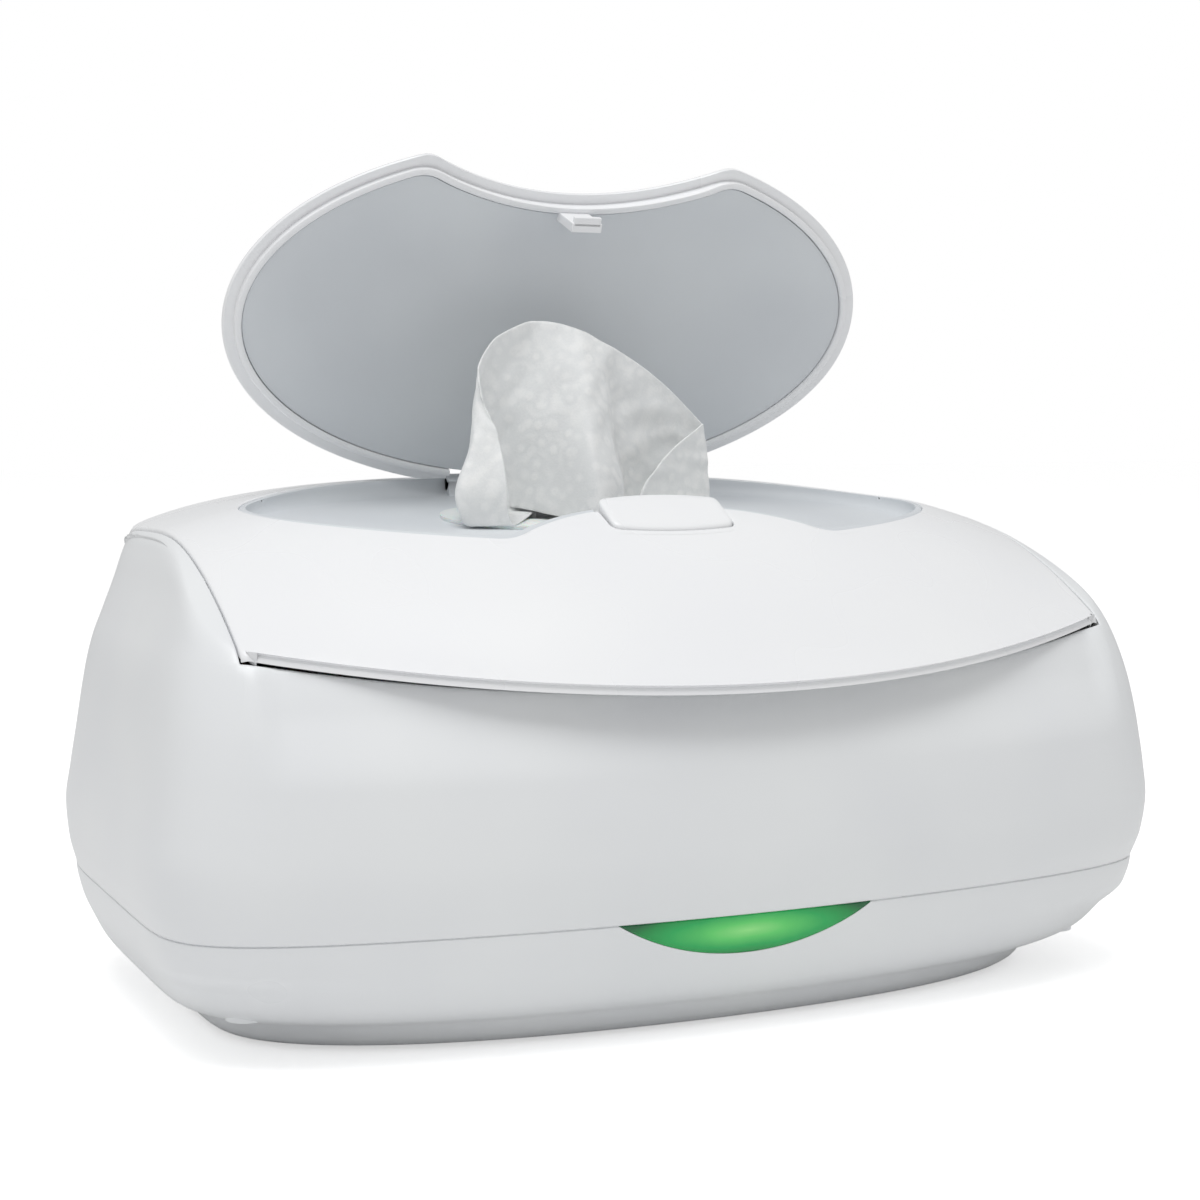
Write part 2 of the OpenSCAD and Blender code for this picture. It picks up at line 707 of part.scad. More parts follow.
// Floor of the recess: a plane that falls towards the front
floor_slope = 0.1;
floor_mid = body_h - 13.6;
floor_tilt = atan(floor_slope);
floor_t = 2;
function floor_at(y) = floor_mid + floor_slope * y;
function on_floor(line, drop) = [for (p = line) [p.x, p.y, floor_at(p.y) - drop]];
basin_wall = 2;
basin_fit = 0.1;

// Hinge of the flap, near the surface at the back of the recess
flap_axis_y = flap_mid_y + flap_b - 2;
flap_axis_z = dome(0, flap_axis_y) - 2.1;
flap_lug_x = 24;
flap_lug_w = 6;
flap_knuckle_x = 12;
flap_knuckle_w = 7;

// Release button between the notch and the front face, and the pin it rocks on
button_gap = 0.5;
button_back_mid = notch_mid_y - flap_gap - 0.6;
button_front_mid = button_back_mid - button_d - 0.6;
button_steps = 8;
button_r = 2.2;
button_outline = let (h = button_w / 2) concat(
    [for (i = [0 : button_steps])
        let (x = -h + button_r + i * (2 * h - 2 * button_r) / button_steps)
        [x, button_front_mid + 2 * pow(x / h, 2)]],
    [[h - 0.5, button_front_mid + 2.9], [h, button_front_mid + 2 + button_r]],
    [for (i = [0 : button_steps])
        let (x = h - 0.3 - i * (2 * h - 0.6) / button_steps)
        [x, button_back_mid - notch_r + sqrt(notch_r * notch_r - x * x)]],
    [[-h, button_front_mid + 2 + button_r], [-h + 0.5, button_front_mid + 2.9]]
);
button_axis_y = button_front_mid + 6;
button_barrel_d = 4.4;
button_pin_d = 2;
button_axis_z = dome(0, button_axis_y) - 3.8;
function button_top(p) = dome(p.x, p.y) + 0.6 + 2.2 * (p.y - button_front_mid) / button_d;
button_mid = [0, (button_front_mid + button_back_mid) / 2];
function on_button(line, drop) = [for (p = line) [p.x, p.y, button_top(p) - drop]];
button_lug_x = button_w / 2 + 2.2;
button_lug_w = 4;
button_pin_x = button_lug_x + button_lug_w - 1;

// Catch of the button and barb of the flap, under the floor of the recess
catch_w = 10;
catch_t = 1.4;
barb_w = 9;
barb_t = 1.4;
catch_tip_y = notch_mid_y + 3.6;
catch_z = floor_at(notch_mid_y - 3) - floor_t - 0.5 - catch_t;
spring_x = 12.5;
spring_y = button_axis_y + 4.3;
spring_foot_z = catch_z + 3.4;
tongue_w = 10;
tongue_t = 3;
slot_half = 7;

module flap_place() {
    translate([0, flap_axis_y, flap_axis_z]) rotate([-flap_swing, 0, 0])
        translate([0, -flap_axis_y, -flap_axis_z]) children();
}
module x_cylinder(from_x, to_x, y, z, d) {
    translate([from_x, y, z]) rotate([0, 90, 0]) cylinder(d=d, h=to_x - from_x);
}

module main_lid() {
    knuckle_x = lid_lug_x[0] + lug_w + lug_gap;
    color("white")
    difference() {
        union() {
            difference() {
                lid_skin();
                translate([0, 0, lip_z]) linear_extrude(80)
                    polygon(grow(flap_outline, flap_gap + basin_wall + basin_fit));
                translate([0, 0, lip_z]) linear_extrude(80) polygon(grow(button_outline, button_gap));
            }
            for (side = [-1, 1])
                translate([side > 0 ? knuckle_x : -knuckle_x - knuckle_w, 0, 0])
                    rotate([90, 0, 90]) linear_extrude(knuckle_w) union() {
                        translate([lid_axis_y, lid_axis_z]) circle(d=lid_barrel_d);
                        polygon([
                            [lid_axis_y - lid_barrel_d / 2, lid_axis_z + 0.9], [lid_axis_y, lid_axis_z],
                            [lid_axis_y + lid_barrel_d / 2, lid_axis_z],
                            [back_y(60, lid_axis_z + 15) - 1, lid_axis_z + 15],
                            [back_y(60, lid_axis_z + 2) - wall / 2, lid_axis_z + 2],
                            [lid_axis_y - 2, lid_axis_z + 0.9]
                        ]);
                    }
            for (side = [-1, 1]) translate([side * (button_lug_x + button_lug_w / 2), button_axis_y, 0])
                translate([-button_lug_w / 2, -3, button_axis_z - 3])
                    cube([button_lug_w, 6, dome(button_lug_x, button_axis_y) - wall / 2 - button_axis_z + 3]);
        }
        x_cylinder(-100, 100, lid_axis_y, lid_axis_z, lid_pin_d + 2 * pin_fit);
        x_cylinder(-button_pin_x, button_pin_x, button_axis_y, button_axis_z, button_pin_d);
    }
}

module lid_hinge_pins() {
    far_x = lid_lug_x[1] + lug_w;
    color("silver")
    for (side = [-1, 1])
        x_cylinder(side > 0 ? lid_lug_x[0] : -far_x, side > 0 ? far_x : -lid_lug_x[0],
            lid_axis_y, lid_axis_z, lid_pin_d);
}

// The dispenser: an oval hole in the floor, its rubber lining, and the throat below it
hole_w = 92;
hole_d = 40;
slit_w = 60;
slit_d = 14;
hole_y = flap_mid_y + 3;
module oval(w, d, z, t) {
    translate([0, 0, z]) linear_extrude(t) union() {
        square([w - d, d], center=true);
        for (x = [-1, 1]) translate([x * (w - d) / 2, 0]) circle(d=d);
    }
}
module at_hole() {
    translate([0, hole_y, floor_at(hole_y)]) rotate([floor_tilt, 0, 0]) children();
}
module dispenser_gasket() {
    color("whitesmoke") at_hole() difference() {
        union() {
            oval(hole_w - 0.2, hole_d - 0.2, -floor_t - 0.5, floor_t + 1);
            oval(hole_w + 4, hole_d + 4, 0.05, 1);
            oval(hole_w + 4, hole_d + 4, -floor_t - 1.1, 1);
        }
        oval(slit_w, slit_d, -10, 20);
    }
}

liner_top = floor_mid - 13;
post_places = [[-78, -12], [78, -12], [-78, 28], [78, 28]];
module recess_basin() {
    inner = grow(flap_outline, flap_gap);
    outer = grow(flap_outline, flap_gap + basin_wall);
    color("lightgray")
    difference() {
        union() {
            difference() {
                star_loft(
                    [on_floor(outer, floor_t), on_dome(outer, 0.6), on_dome(inner, 0.6), on_floor(inner, 0)],
                    [star.x, star.y, floor_at(star.y) - floor_t], [star.x, star.y, floor_at(star.y)]
                );
                translate([-button_w / 2 - 1.4, notch_mid_y - 12, button_axis_z + 1.6])
                    cube([button_w + 2.8, 12.6, 20]);
                x_cylinder(-flap_lug_x, flap_lug_x, flap_axis_y, flap_axis_z, flap_barrel_d + 0.8);
            }
            for (side = [-1, 1])
                translate([side > 0 ? flap_lug_x - flap_lug_w / 2 : -flap_lug_x - flap_lug_w / 2, 0, 0])
                    rotate([90, 0, 90]) linear_extrude(flap_lug_w) union() {
                        translate([flap_axis_y, flap_axis_z]) circle(d=flap_barrel_d);
                        polygon([
                            [flap_axis_y - flap_barrel_d / 2, flap_axis_z],
                            [flap_axis_y - flap_barrel_d / 2 - 1, floor_at(flap_axis_y) - 1],
                            [flap_axis_y + 2.2, floor_at(flap_axis_y) - 1],
                            [flap_axis_y + 2.2, flap_axis_z]
                        ]);
                    }
            for (p = post_places)
                translate([p.x, p.y, liner_top]) cylinder(d=7, h=floor_at(p.y) - floor_t / 2 - liner_top);
            for (side = [-1, 1])
                translate([side * spring_x - 4, spring_y - 2.4, spring_foot_z - 2])
                    cube([8, notch_mid_y - 1.5 - spring_y + 2.4, 2]);
        }
        translate([-slot_half, catch_tip_y - 2.2, floor_mid - 20]) cube([2 * slot_half, 11, 40]);
        at_hole() oval(hole_w, hole_d, -10, 20);
        x_cylinder(-flap_lug_x - flap_lug_w, flap_lug_x + flap_lug_w,
            flap_axis_y, flap_axis_z, flap_pin_d);
    }
}

liner_flange_z = deck_z + flange_t + seal_h + 0.1;
liner_t = 2;
module lid_liner() {
    lw = tub_w / 2 + flange_w;
    ld = tub_d / 2 + flange_w;
    color("white")
    difference() {
        union() {
            loft([
                for (s = [
                    [liner_top - liner_t, 25], [liner_top - 6, 20], [liner_flange_z + 12, 15.2],
                    [liner_flange_z, 11.8], [liner_flange_z, 0.6],
                    [liner_flange_z + liner_t, 0.6], [liner_flange_z + liner_t, 9.5],
                    [liner_flange_z + 12, 13], [liner_top - 4, 17.5], [liner_top, 22]
                ])
                    plan_ring(lw - s[1], ld - s[1], ld - s[1], tub_power, 0, 0, s[0])
            ]);
            translate([0, hole_y, 0])
                oval(hole_w + 8, hole_d + 8, liner_top - liner_t,
                    floor_at(hole_y - 25) - floor_t - 1.4 - liner_top + liner_t);
        }
        translate([0, hole_y, 0]) oval(hole_w + 4, hole_d + 4, liner_top - 10, 60);
    }
}

// The flap: a thin domed skin with a rolled edge, and a raised rim round its inner face
skin_t = 2.2;
flap_lip = 3.4;
rim_t = 2.2;
rim_play = 0.8;
barb_z = catch_z - latch_play - barb_t;
function rim_foot(line, up) = [
    for (p = line) [p.x, p.y, max(dome(p.x, p.y) - flap_t, floor_at(p.y) + rim_play) + up]
];
module flap_cover() {
    slot_y = flap_axis_y - flap_barrel_d / 2 - 2;
    edge = [[1.6, 0.25], [0.5, 0.9], [0, 1.9], [0, 2.5]];
    color("white")
    flap_place() difference() {
        union() {
            difference() {
                star_loft(
                    concat(
                        [for (k = [-0.3, -0.55, -0.8]) on_dome(shrink(flap_outline, -k), skin_t)],
                        [on_dome(grow(flap_outline, -flap_lip - rim_t), skin_t)],
                        [rim_foot(grow(flap_outline, -flap_lip - rim_t), 0)],
                        [rim_foot(grow(flap_outline, -flap_lip), 0)],
                        [on_dome(grow(flap_outline, -flap_lip), 3.1)],
                        [on_dome(grow(flap_outline, -0.5), 3.1)],
                        [for (i = [3 : -1 : 0]) on_dome(grow(flap_outline, -edge[i][0]), edge[i][1])],
                        [on_dome(grow(flap_outline, -flap_lip - 2), 0)],
                        [for (k = [0.8, 0.55, 0.3]) on_dome(shrink(flap_outline, k), 0)]
                    ),
                    [star.x, star.y, dome(star.x, star.y) - skin_t],
                    [star.x, star.y, dome(star.x, star.y)]
                );
                translate([-60, flap_axis_y - 1.8, 100]) cube([120, 20, 80]);
                for (side = [-1, 1])
                    translate([side * flap_lug_x - flap_lug_w / 2 - 0.6, slot_y - 3, flap_axis_z - 20])
                        cube([flap_lug_w + 1.2, 20, 40]);
                translate([-flap_knuckle_x + flap_knuckle_w / 2, slot_y, flap_axis_z - 20])
                    cube([2 * flap_knuckle_x - flap_knuckle_w, 20, 40]);
            }
            for (side = [-1, 1])
                translate([side * flap_knuckle_x - flap_knuckle_w / 2, 0, 0])
                    rotate([90, 0, 90]) linear_extrude(flap_knuckle_w) union() {
                        translate([flap_axis_y, flap_axis_z]) circle(d=flap_barrel_d);
                        polygon([
                            [flap_axis_y, flap_axis_z - flap_barrel_d / 2], [flap_axis_y, flap_axis_z + 2],
                            [flap_axis_y - 9, flap_axis_z + 1.2], [flap_axis_y - 9, flap_axis_z - 2.4]
                        ]);
                    }
            translate([-tongue_w / 2, catch_tip_y + 1.4, barb_z])
                cube([tongue_w, tongue_t, dome(0, catch_tip_y) - 1.2 - barb_z]);
            translate([-barb_w / 2, catch_tip_y - latch_bite, barb_z]) cube([barb_w, 3, barb_t]);
        }
        x_cylinder(-100, 100, flap_axis_y, flap_axis_z, flap_pin_d + 2 * pin_fit);
    }
}
panel_t = 1.6;
panel_sink = 0.9;
module flap_panel() {
    line = grow(flap_outline, -flap_lip - rim_t - 0.15);
    color("lightgray")
    flap_place() difference() {
        star_loft(
            concat(
                [for (k = [0.35, 0.7, 1]) rim_foot(shrink(line, k), panel_sink)],
                [for (k = [1, 0.7, 0.35]) rim_foot(shrink(line, k), panel_sink + panel_t)]
            ),
            [star.x, star.y, rim_foot([star], panel_sink)[0].z],
            [star.x, star.y, rim_foot([star], panel_sink + panel_t)[0].z]
        );
        translate([-tongue_w / 2 - 0.4, catch_tip_y + 1, barb_z])
            cube([tongue_w + 0.8, tongue_t + 0.8, 30]);
        translate([-60, flap_axis_y - 8, 100]) cube([120, 30, 80]);
    }
}

flap_coil_r = flap_pin_d / 2 + 0.9;
module coil(r, wire_r, pitch, turns) {
    loft([
        for (k = [0 : turns * 8])
            let (t = k * 45)
            [for (a = [0 : 60 : 300])
                let (d = r + wire_r * sin(a))
                [d * cos(t), d * sin(t), pitch * k / 8 + wire_r * cos(a)]]
    ]);
}
module flap_hinge_pin() {
    color("silver")
    x_cylinder(-flap_lug_x - flap_lug_w / 2, flap_lug_x + flap_lug_w / 2,
        flap_axis_y, flap_axis_z, flap_pin_d);
}
module flap_spring() {
    color("silver")
    translate([-4.2, flap_axis_y, flap_axis_z]) rotate([0, 90, 0]) coil(flap_coil_r, 0.35, 1.2, 7);
}
module button_pin() {
    color("silver")
    x_cylinder(-button_pin_x, button_pin_x, button_axis_y, button_axis_z, button_pin_d);
}
button_skirt = 4.4;
module button_spring() {
    room = button_top([spring_x, spring_y]) - button_skirt - spring_foot_z - 0.9;
    color("silver")
    for (side = [-1, 1])
        translate([side * spring_x, spring_y, spring_foot_z + 0.32]) coil(1.8, 0.28, (room - 0.64) / 4, 4);
}
module release_button() {
    color("white")
    difference() {
        union() {
            star_loft(
                [
                    on_button(grow(button_outline, -0.3), button_skirt),
                    on_button(button_outline, 1.2), on_button(grow(button_outline, -0.35), 0.5),
                    on_button(grow(button_outline, -1.1), 0.08), on_button(grow(button_outline, -3), 0)
                ],
                [0, button_mid.y, button_top(button_mid) - button_skirt],
                [0, button_mid.y, button_top(button_mid)]
            );
            x_cylinder(-button_w / 2 + 1, button_w / 2 - 1, button_axis_y, button_axis_z, button_barrel_d);
            translate([-button_w / 2 + 1, button_axis_y - 1.6, button_axis_z])
                cube([button_w - 2, 3.2, 2.4]);
            translate([-catch_w / 2, notch_mid_y - 6.4, catch_z])
                cube([catch_w, 2, button_top([0, notch_mid_y - 5]) - 2 - catch_z]);
            translate([-catch_w / 2, notch_mid_y - 6.4, catch_z])
                cube([catch_w, catch_tip_y - notch_mid_y + 6.4, catch_t]);
        }
        x_cylinder(-100, 100, button_axis_y, button_axis_z, button_pin_d + 2 * pin_fit);
    }
}

// The wipe that stands in the dispenser: a sheet gathered by the slit, with its folds,
// as share of the half width, fold towards the back, height of the top edge over the floor
wipe_folds = [
    [-1.00, 6, 38], [-0.92, 2, 49], [-0.80, -5, 54.5], [-0.70, -8, 56.5], [-0.66, -6, 57.5],
    [-0.64, 0, 58], [-0.60, 4, 58.5], [-0.45, 5, 59], [-0.30, 1, 58.5], [-0.18, -6, 57],
    [-0.06, -9, 55], [0.04, -6, 52.5], [0.10, 0, 51], [0.16, 2, 49.5], [0.28, -2, 47],
    [0.42, -6, 44.5], [0.56, -9, 42], [0.62, -7, 40.5], [0.64, -1, 40], [0.68, 3, 39],
    [0.80, 5, 35.5], [0.92, 4, 30], [1.00, 5, 22]
];
// Share of the height, then half width, how open the folds are, lean to the back
wipe_rows = [
    [-0.26, 24, 0.42, 0], [-0.12, 24, 0.42, 0], [0, 25, 0.44, 0], [0.07, 30, 0.6, 0],
    [0.15, 36.5, 0.85, 0.3], [0.25, 39, 1, 0.8], [0.38, 39.5, 1, 1.4], [0.52, 39, 0.95, 2],
    [0.66, 38.5, 0.85, 2.7], [0.8, 38, 0.75, 3.4], [0.91, 37.5, 0.68, 4], [1, 37, 0.62, 4.4]
];
wipe_t = 0.8;
wipe_x = -2;
function wipe_mid(fold, row) = [wipe_x + row[1] * fold[0], hole_y - 0.5 + row[2] * fold[1] * 1.05 + row[3]];
module wipe() {
    columns = len(wipe_folds);
    n = 2 * columns;
    m = len(wipe_rows);
    function side_point(i, row, to) =
        let (
            a = wipe_mid(wipe_folds[max(0, i - 1)], row),
            b = wipe_mid(wipe_folds[min(columns - 1, i + 1)], row),
            p = wipe_mid(wipe_folds[i], row) + outward(a, b) * to * wipe_t / 2,
            tall = row[0] < 0 ? 50 : wipe_folds[i][2]
        )
        [p.x, p.y, floor_at(hole_y) + 1 + row[0] * tall];
    rings = [for (row = wipe_rows) concat(
        [for (i = [0 : columns - 1]) side_point(i, row, 1)],
        [for (i = [columns - 1 : -1 : 0]) side_point(i, row, -1)]
    )];
    color("ivory")
    polyhedron(
        [for (r = rings) each r],
        concat(
            [for (i = [0 : columns - 2]) each [[i, i + 1, n - 1 - i], [i + 1, n - 2 - i, n - 1 - i]]],
            [
                for (k = [0 : m - 2], j = [0 : n - 1])
                    let (a = k * n + j, b = k * n + (j + 1) % n)
                    each [[a, a + n, b + n], [a, b + n, b]]
            ],
            [
                for (i = [0 : columns - 2])
                    let (e = (m - 1) * n)
                    each [[e + i, e + n - 1 - i, e + i + 1], [e + i + 1, e + n - 1 - i, e + n - 2 - i]]
            ]
        )
    );
}

base_shell();
casing();
tub();
tub_seal();
heat_spreader();
heating_foil();
insulation_pad();
thermostat();
thermal_fuse();
control_board();
board_leds();
light_guide();
lamp_lens();
power_inlet();
wiring();
base_screws();
rubber_feet();
moisture_pad();
lid_hinge_pins();
main_lid();
lid_liner();
recess_basin();
dispenser_gasket();
flap_hinge_pin();
flap_spring();
button_pin();
button_spring();
release_button();
flap_cover();
flap_panel();
wipe();
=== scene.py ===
import json
import math
import bmesh
import bpy
import numpy as np
from mathutils import Matrix, Vector
from mathutils.geometry import delaunay_2d_cdt

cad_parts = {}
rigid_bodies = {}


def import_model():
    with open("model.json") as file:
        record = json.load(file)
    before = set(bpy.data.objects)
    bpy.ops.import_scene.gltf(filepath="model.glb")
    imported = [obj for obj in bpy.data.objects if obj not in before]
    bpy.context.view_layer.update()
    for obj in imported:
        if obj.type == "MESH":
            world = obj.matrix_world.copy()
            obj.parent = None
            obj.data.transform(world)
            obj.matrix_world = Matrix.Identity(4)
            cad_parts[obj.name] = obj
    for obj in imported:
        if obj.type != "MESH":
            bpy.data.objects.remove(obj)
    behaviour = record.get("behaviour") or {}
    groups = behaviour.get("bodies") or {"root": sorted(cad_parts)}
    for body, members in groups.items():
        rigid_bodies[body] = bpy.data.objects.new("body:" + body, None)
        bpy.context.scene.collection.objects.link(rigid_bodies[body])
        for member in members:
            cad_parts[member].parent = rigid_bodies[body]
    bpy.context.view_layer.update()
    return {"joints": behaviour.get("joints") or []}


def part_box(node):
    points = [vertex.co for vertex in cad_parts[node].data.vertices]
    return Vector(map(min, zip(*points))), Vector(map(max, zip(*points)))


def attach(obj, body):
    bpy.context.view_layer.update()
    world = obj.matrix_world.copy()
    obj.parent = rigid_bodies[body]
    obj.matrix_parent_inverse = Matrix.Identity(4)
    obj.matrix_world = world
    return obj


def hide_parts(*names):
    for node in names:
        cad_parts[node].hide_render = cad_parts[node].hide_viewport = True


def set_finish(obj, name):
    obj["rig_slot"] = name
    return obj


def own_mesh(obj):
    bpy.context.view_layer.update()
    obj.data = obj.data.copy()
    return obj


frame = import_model()

# %% [markdown]
# # The looks of a baby wipe warmer
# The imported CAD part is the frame: it gives every piece its place, its body and its joints.
# Here the smooth moulded shells, the wipe and the pad are built over it, from the same
# formulas as the CAD source but with many more points, and then given their materials.
# All lengths below are in millimetres and become metres when a mesh is made.

# %% Size of the CAD model
JOINTS = {j["name"]: j for j in frame["joints"]}


def axis_of(joint):
    """Height and depth of a hinge's axis, in mm."""
    p = JOINTS[joint]["pos_m"]
    return 1000 * p[1], 1000 * p[2]


LID_Y, LID_Z = axis_of("lid_hinge")
FLAP_Y, FLAP_Z = axis_of("flap_hinge")
BUTTON_Y, BUTTON_Z = axis_of("button_rock")
FLAP_SWING = math.radians(69)  # from closed to the open flap of the photograph

# %% [markdown]
# ## The casing's outline
# A horizontal cut through the casing is a rounded rectangle whose front and back bow out.
# A table says how far the side, the front and the back stand in at each height. A curve
# that never overshoots joins its rows, so the moulded surface has no ripples.

# %% Curves and outlines
HALF_W, HALF_D, TOP, SEAM = 155.0, 102.0, 151.0, 36.0
RISE = TOP - SEAM
FRONT_BOW, BACK_BOW, FRONT_POWER, BACK_POWER = 19.0, 5.0, 9.0, 5.0
CASING = np.array([
    [0.00, 2.9, 4.5, 5.0], [0.07, 1.1, 1.8, 2.6], [0.16, 0.4, 0.3, 2.0], [0.25, 1.9, 0.0, 2.0],
    [0.35, 3.8, 0.6, 2.6], [0.45, 5.6, 2.5, 3.6], [0.52, 7.0, 5.0, 4.6], [0.59, 9.0, 8.2, 5.7],
    [0.66, 12.0, 12.0, 7.0], [0.74, 15.4, 16.5, 8.6], [0.82, 18.4, 22.0, 11.0],
    [0.87, 21.0, 27.0, 13.4], [0.905, 28.0, 32.0, 16.0], [0.935, 36.0, 39.0, 19.5],
    [0.965, 49.0, 50.0, 25.0], [0.99, 80.0, 68.0, 33.0],
])


def curve(x, y):
    """A smooth curve through points that stays between each pair of them."""
    x, y = np.asarray(x, float), np.asarray(y, float)
    h = np.diff(x)
    d = np.diff(y) / h
    m = np.r_[d[0], np.zeros(len(d) - 1), d[-1]]
    for i in range(1, len(d)):
        if d[i - 1] * d[i] > 0:
            w1, w2 = 2 * h[i] + h[i - 1], h[i] + 2 * h[i - 1]
            m[i] = (w1 + w2) / (w1 / d[i - 1] + w2 / d[i])

    def at(t):
        t = np.clip(t, x[0], x[-1])
        i = np.clip(np.searchsorted(x, t, side="right") - 1, 0, len(h) - 1)
        s = (t - x[i]) / h[i]
        a = (1 + 2 * s) * (1 - s) ** 2 * y[i] + s * (1 - s) ** 2 * h[i] * m[i]
        return a + s * s * (3 - 2 * s) * y[i + 1] + s * s * (s - 1) * h[i] * m[i + 1]

    return at


side_in, front_in, back_in = (curve(CASING[:, 0], CASING[:, k]) for k in (1, 2, 3))


def share(z):
    """Height in the casing, from 0 at the seam to 1 at the top."""
    return (z - SEAM) / RISE


def plan_ring(w, front, back, front_power, back_power, bow_f, bow_b, n):
    """A horizontal outline of n points, counter-clockwise from the middle of the right side."""
    t = np.linspace(0, 2 * math.pi, n, endpoint=False)
    c, s = np.cos(t), np.sin(t)
    m = np.maximum(abs(c), abs(s))
    px, py = c / m, s / m
    k = np.where(py < 0, front_power, back_power)
    r = (abs(px) ** k + abs(py) ** k) ** (-1 / k)
    x, y = px * r, py * r
    depth = np.where(y < 0, front - bow_f * x * x, back - bow_b * x * x)
    return np.c_[w * x, depth * y]


def back_y(x, z):
    """Depth of the casing's back wall."""
    u = np.minimum(1, abs(x) / (HALF_W - side_in(share(z))))
    flat = HALF_D - back_in(share(z)) - BACK_BOW * u * u
    return flat * (1 - u**BACK_POWER) ** (1 / BACK_POWER)


# %% [markdown]
# ## The dome
# The lid, the flap and the tops of the cheeks are parts of one surface. It is highest on a
# line across the warmer, falls forward to the lid's lip and flares a little just before it.
# The lid meets the casing along a shallow arc.

# %% The dome and the joint under the lid
def arc_radius(half, rise):
    """The radius of an arc, from half its chord and its rise."""
    return (half**2 + rise**2) / (2 * rise)


LIP_HALF, LIP_Z, LIP_RISE, LIP_BOW = 132.0, 98.0, 11.0, 35.0
LIP_REACH = HALF_D + 3.0
CREST_Y, CREST_FALL = 15.0, 14.0
JOINT_Z = LIP_Z - 1.8
JOINT_R = arc_radius(LIP_HALF, LIP_RISE)
GAP = 0.4
WALL, LID_WALL = 2.8, 2.4
CREST_DROP = 1.2  # from the crest to the top of the back wall
SHALLOW = 40.0  # the dome behind the crest is never steeper than over this depth


def across(x):
    """From 0 in the middle of the lid to 1 at its sides."""
    return (x / LIP_HALF) ** 2


def crest_at(x):
    return TOP - CREST_FALL * across(x) ** 1.45


def lip_y(x):
    return -LIP_REACH + LIP_BOW * across(x)


def top_z(x):
    return crest_at(x) - CREST_DROP


def dome(x, y):
    """Height of the lid's and the cheeks' surface."""
    deep = np.maximum(back_y(x, top_z(x)) - CREST_Y, SHALLOW)
    behind = crest_at(x) - CREST_DROP * ((y - CREST_Y) / deep) ** 2
    v = np.maximum(0, (CREST_Y - y) / (CREST_Y - lip_y(x)))
    power = 2.6 - 0.7 * across(x)
    flare = 0.14 * np.maximum(0, 1 - across(x))
    fall = crest_at(x) - LIP_Z - LIP_RISE * across(x)
    before = crest_at(x) - fall * ((1 + flare) * v**power - flare * v**12)
    return np.where(y > CREST_Y, behind, before)


def joint_z(x):
    """Height of the arc where the lid meets the casing."""
    return JOINT_Z + JOINT_R - np.sqrt(JOINT_R**2 - np.minimum(abs(x), LIP_HALF + 20) ** 2)


def ease(t):
    """A soft step from 0 to 1."""
    u = np.clip(t, 0, 1)
    return u * u * (3 - 2 * u)


def casing_ring(s, inset=0.0, n=420):
    """One row of the casing's surface, scooped in under the lip and cut by the dome."""
    ring = plan_ring(HALF_W - side_in(s) - inset, HALF_D - front_in(s) - inset,
                     HALF_D - back_in(s) - inset, FRONT_POWER, BACK_POWER, FRONT_BOW, BACK_BOW, n)
    x, y = ring.T
    z = np.full(n, SEAM + s * RISE)
    scoop = 3.4 * ease((z - JOINT_Z + 21) / 20) * (1 - ease((abs(x) - LIP_HALF + 9) / 9))
    y = y + np.where(y < 0, scoop, 0)
    top = dome(x, y)
    h = np.clip(0.5 + (top - z) / 8, 0, 1)
    return np.c_[x, y, z * h + top * (1 - h) - 4 * h * (1 - h)]


# %% [markdown]
# ## Making meshes
# Every mesh is built in bmesh, either as a skin through rows of points or as a patch: a flat
# outline with holes, filled with even triangles and lifted onto a surface. Rows of points
# close to an edge let the edge be rolled over, as a moulded edge is.

# %% Mesh tools
def row(bm, points):
    return [bm.verts.new(Vector(p) / 1000) for p in points]


def strip(bm, a, b, closed=True):
    n = len(a)
    for j in range(n if closed else n - 1):
        k = (j + 1) % n
        bm.faces.new((a[j], a[k], b[k], b[j]))


def join(bm, rows, closed=True):
    for a, b in zip(rows, rows[1:]):
        strip(bm, a, b, closed)
    return rows


def skin(bm, rings, closed=True):
    """Faces through rows of points; returns the rows as vertices."""
    return join(bm, [row(bm, r) for r in rings], closed)


def solid(bm, rings):
    """A closed shape through rows of points, with a face over each end."""
    rows = skin(bm, rings)
    bm.faces.new(rows[0][::-1])
    bm.faces.new(rows[-1])


def walls(bm, rim, outline, profile, top, ground=None):
    """Rows of faces that leave a rim. A step of the profile is (distance, 1, drop under the
    top) or (distance, 0, height over the ground), and outline(distance) gives its points."""
    rows = [rim]
    for d, from_top, dz in profile:
        line = outline(d)
        z = top(*line.T) - dz if from_top else ground(*line.T) + dz
        rows.append(row(bm, np.c_[line, z]))
    return join(bm, rows)


def offset(loop, d):
    """A counter-clockwise outline moved outwards by d."""
    def out(v):
        return np.c_[v[:, 1], -v[:, 0]] / np.linalg.norm(v, axis=1)[:, None]
    a, b = out(loop - np.roll(loop, 1, 0)), out(np.roll(loop, -1, 0) - loop)
    return loop + (a + b) * d / (1 + (a * b).sum(1))[:, None]


def distance(points, loop):
    """From each point to an outline."""
    a, v = loop[None], (np.roll(loop, -1, 0) - loop)[None]
    p = points[:, None]
    t = np.clip(((p - a) * v).sum(2) / (v * v).sum(2), 0, 1)
    return np.sqrt((((a + t[..., None] * v) - p) ** 2).sum(2)).min(1)


def inside(points, loop):
    x, y = points[:, :1], points[:, 1:]
    ax, ay = loop[None, :, 0], loop[None, :, 1]
    bx, by = np.roll(loop, -1, 0).T[:, None, :]
    crosses = (ay > y) != (by > y)
    at = ax + (y - ay) * (bx - ax) / np.where(by == ay, 1e-9, by - ay)
    return (crosses & (x < at)).sum(1) % 2 == 1


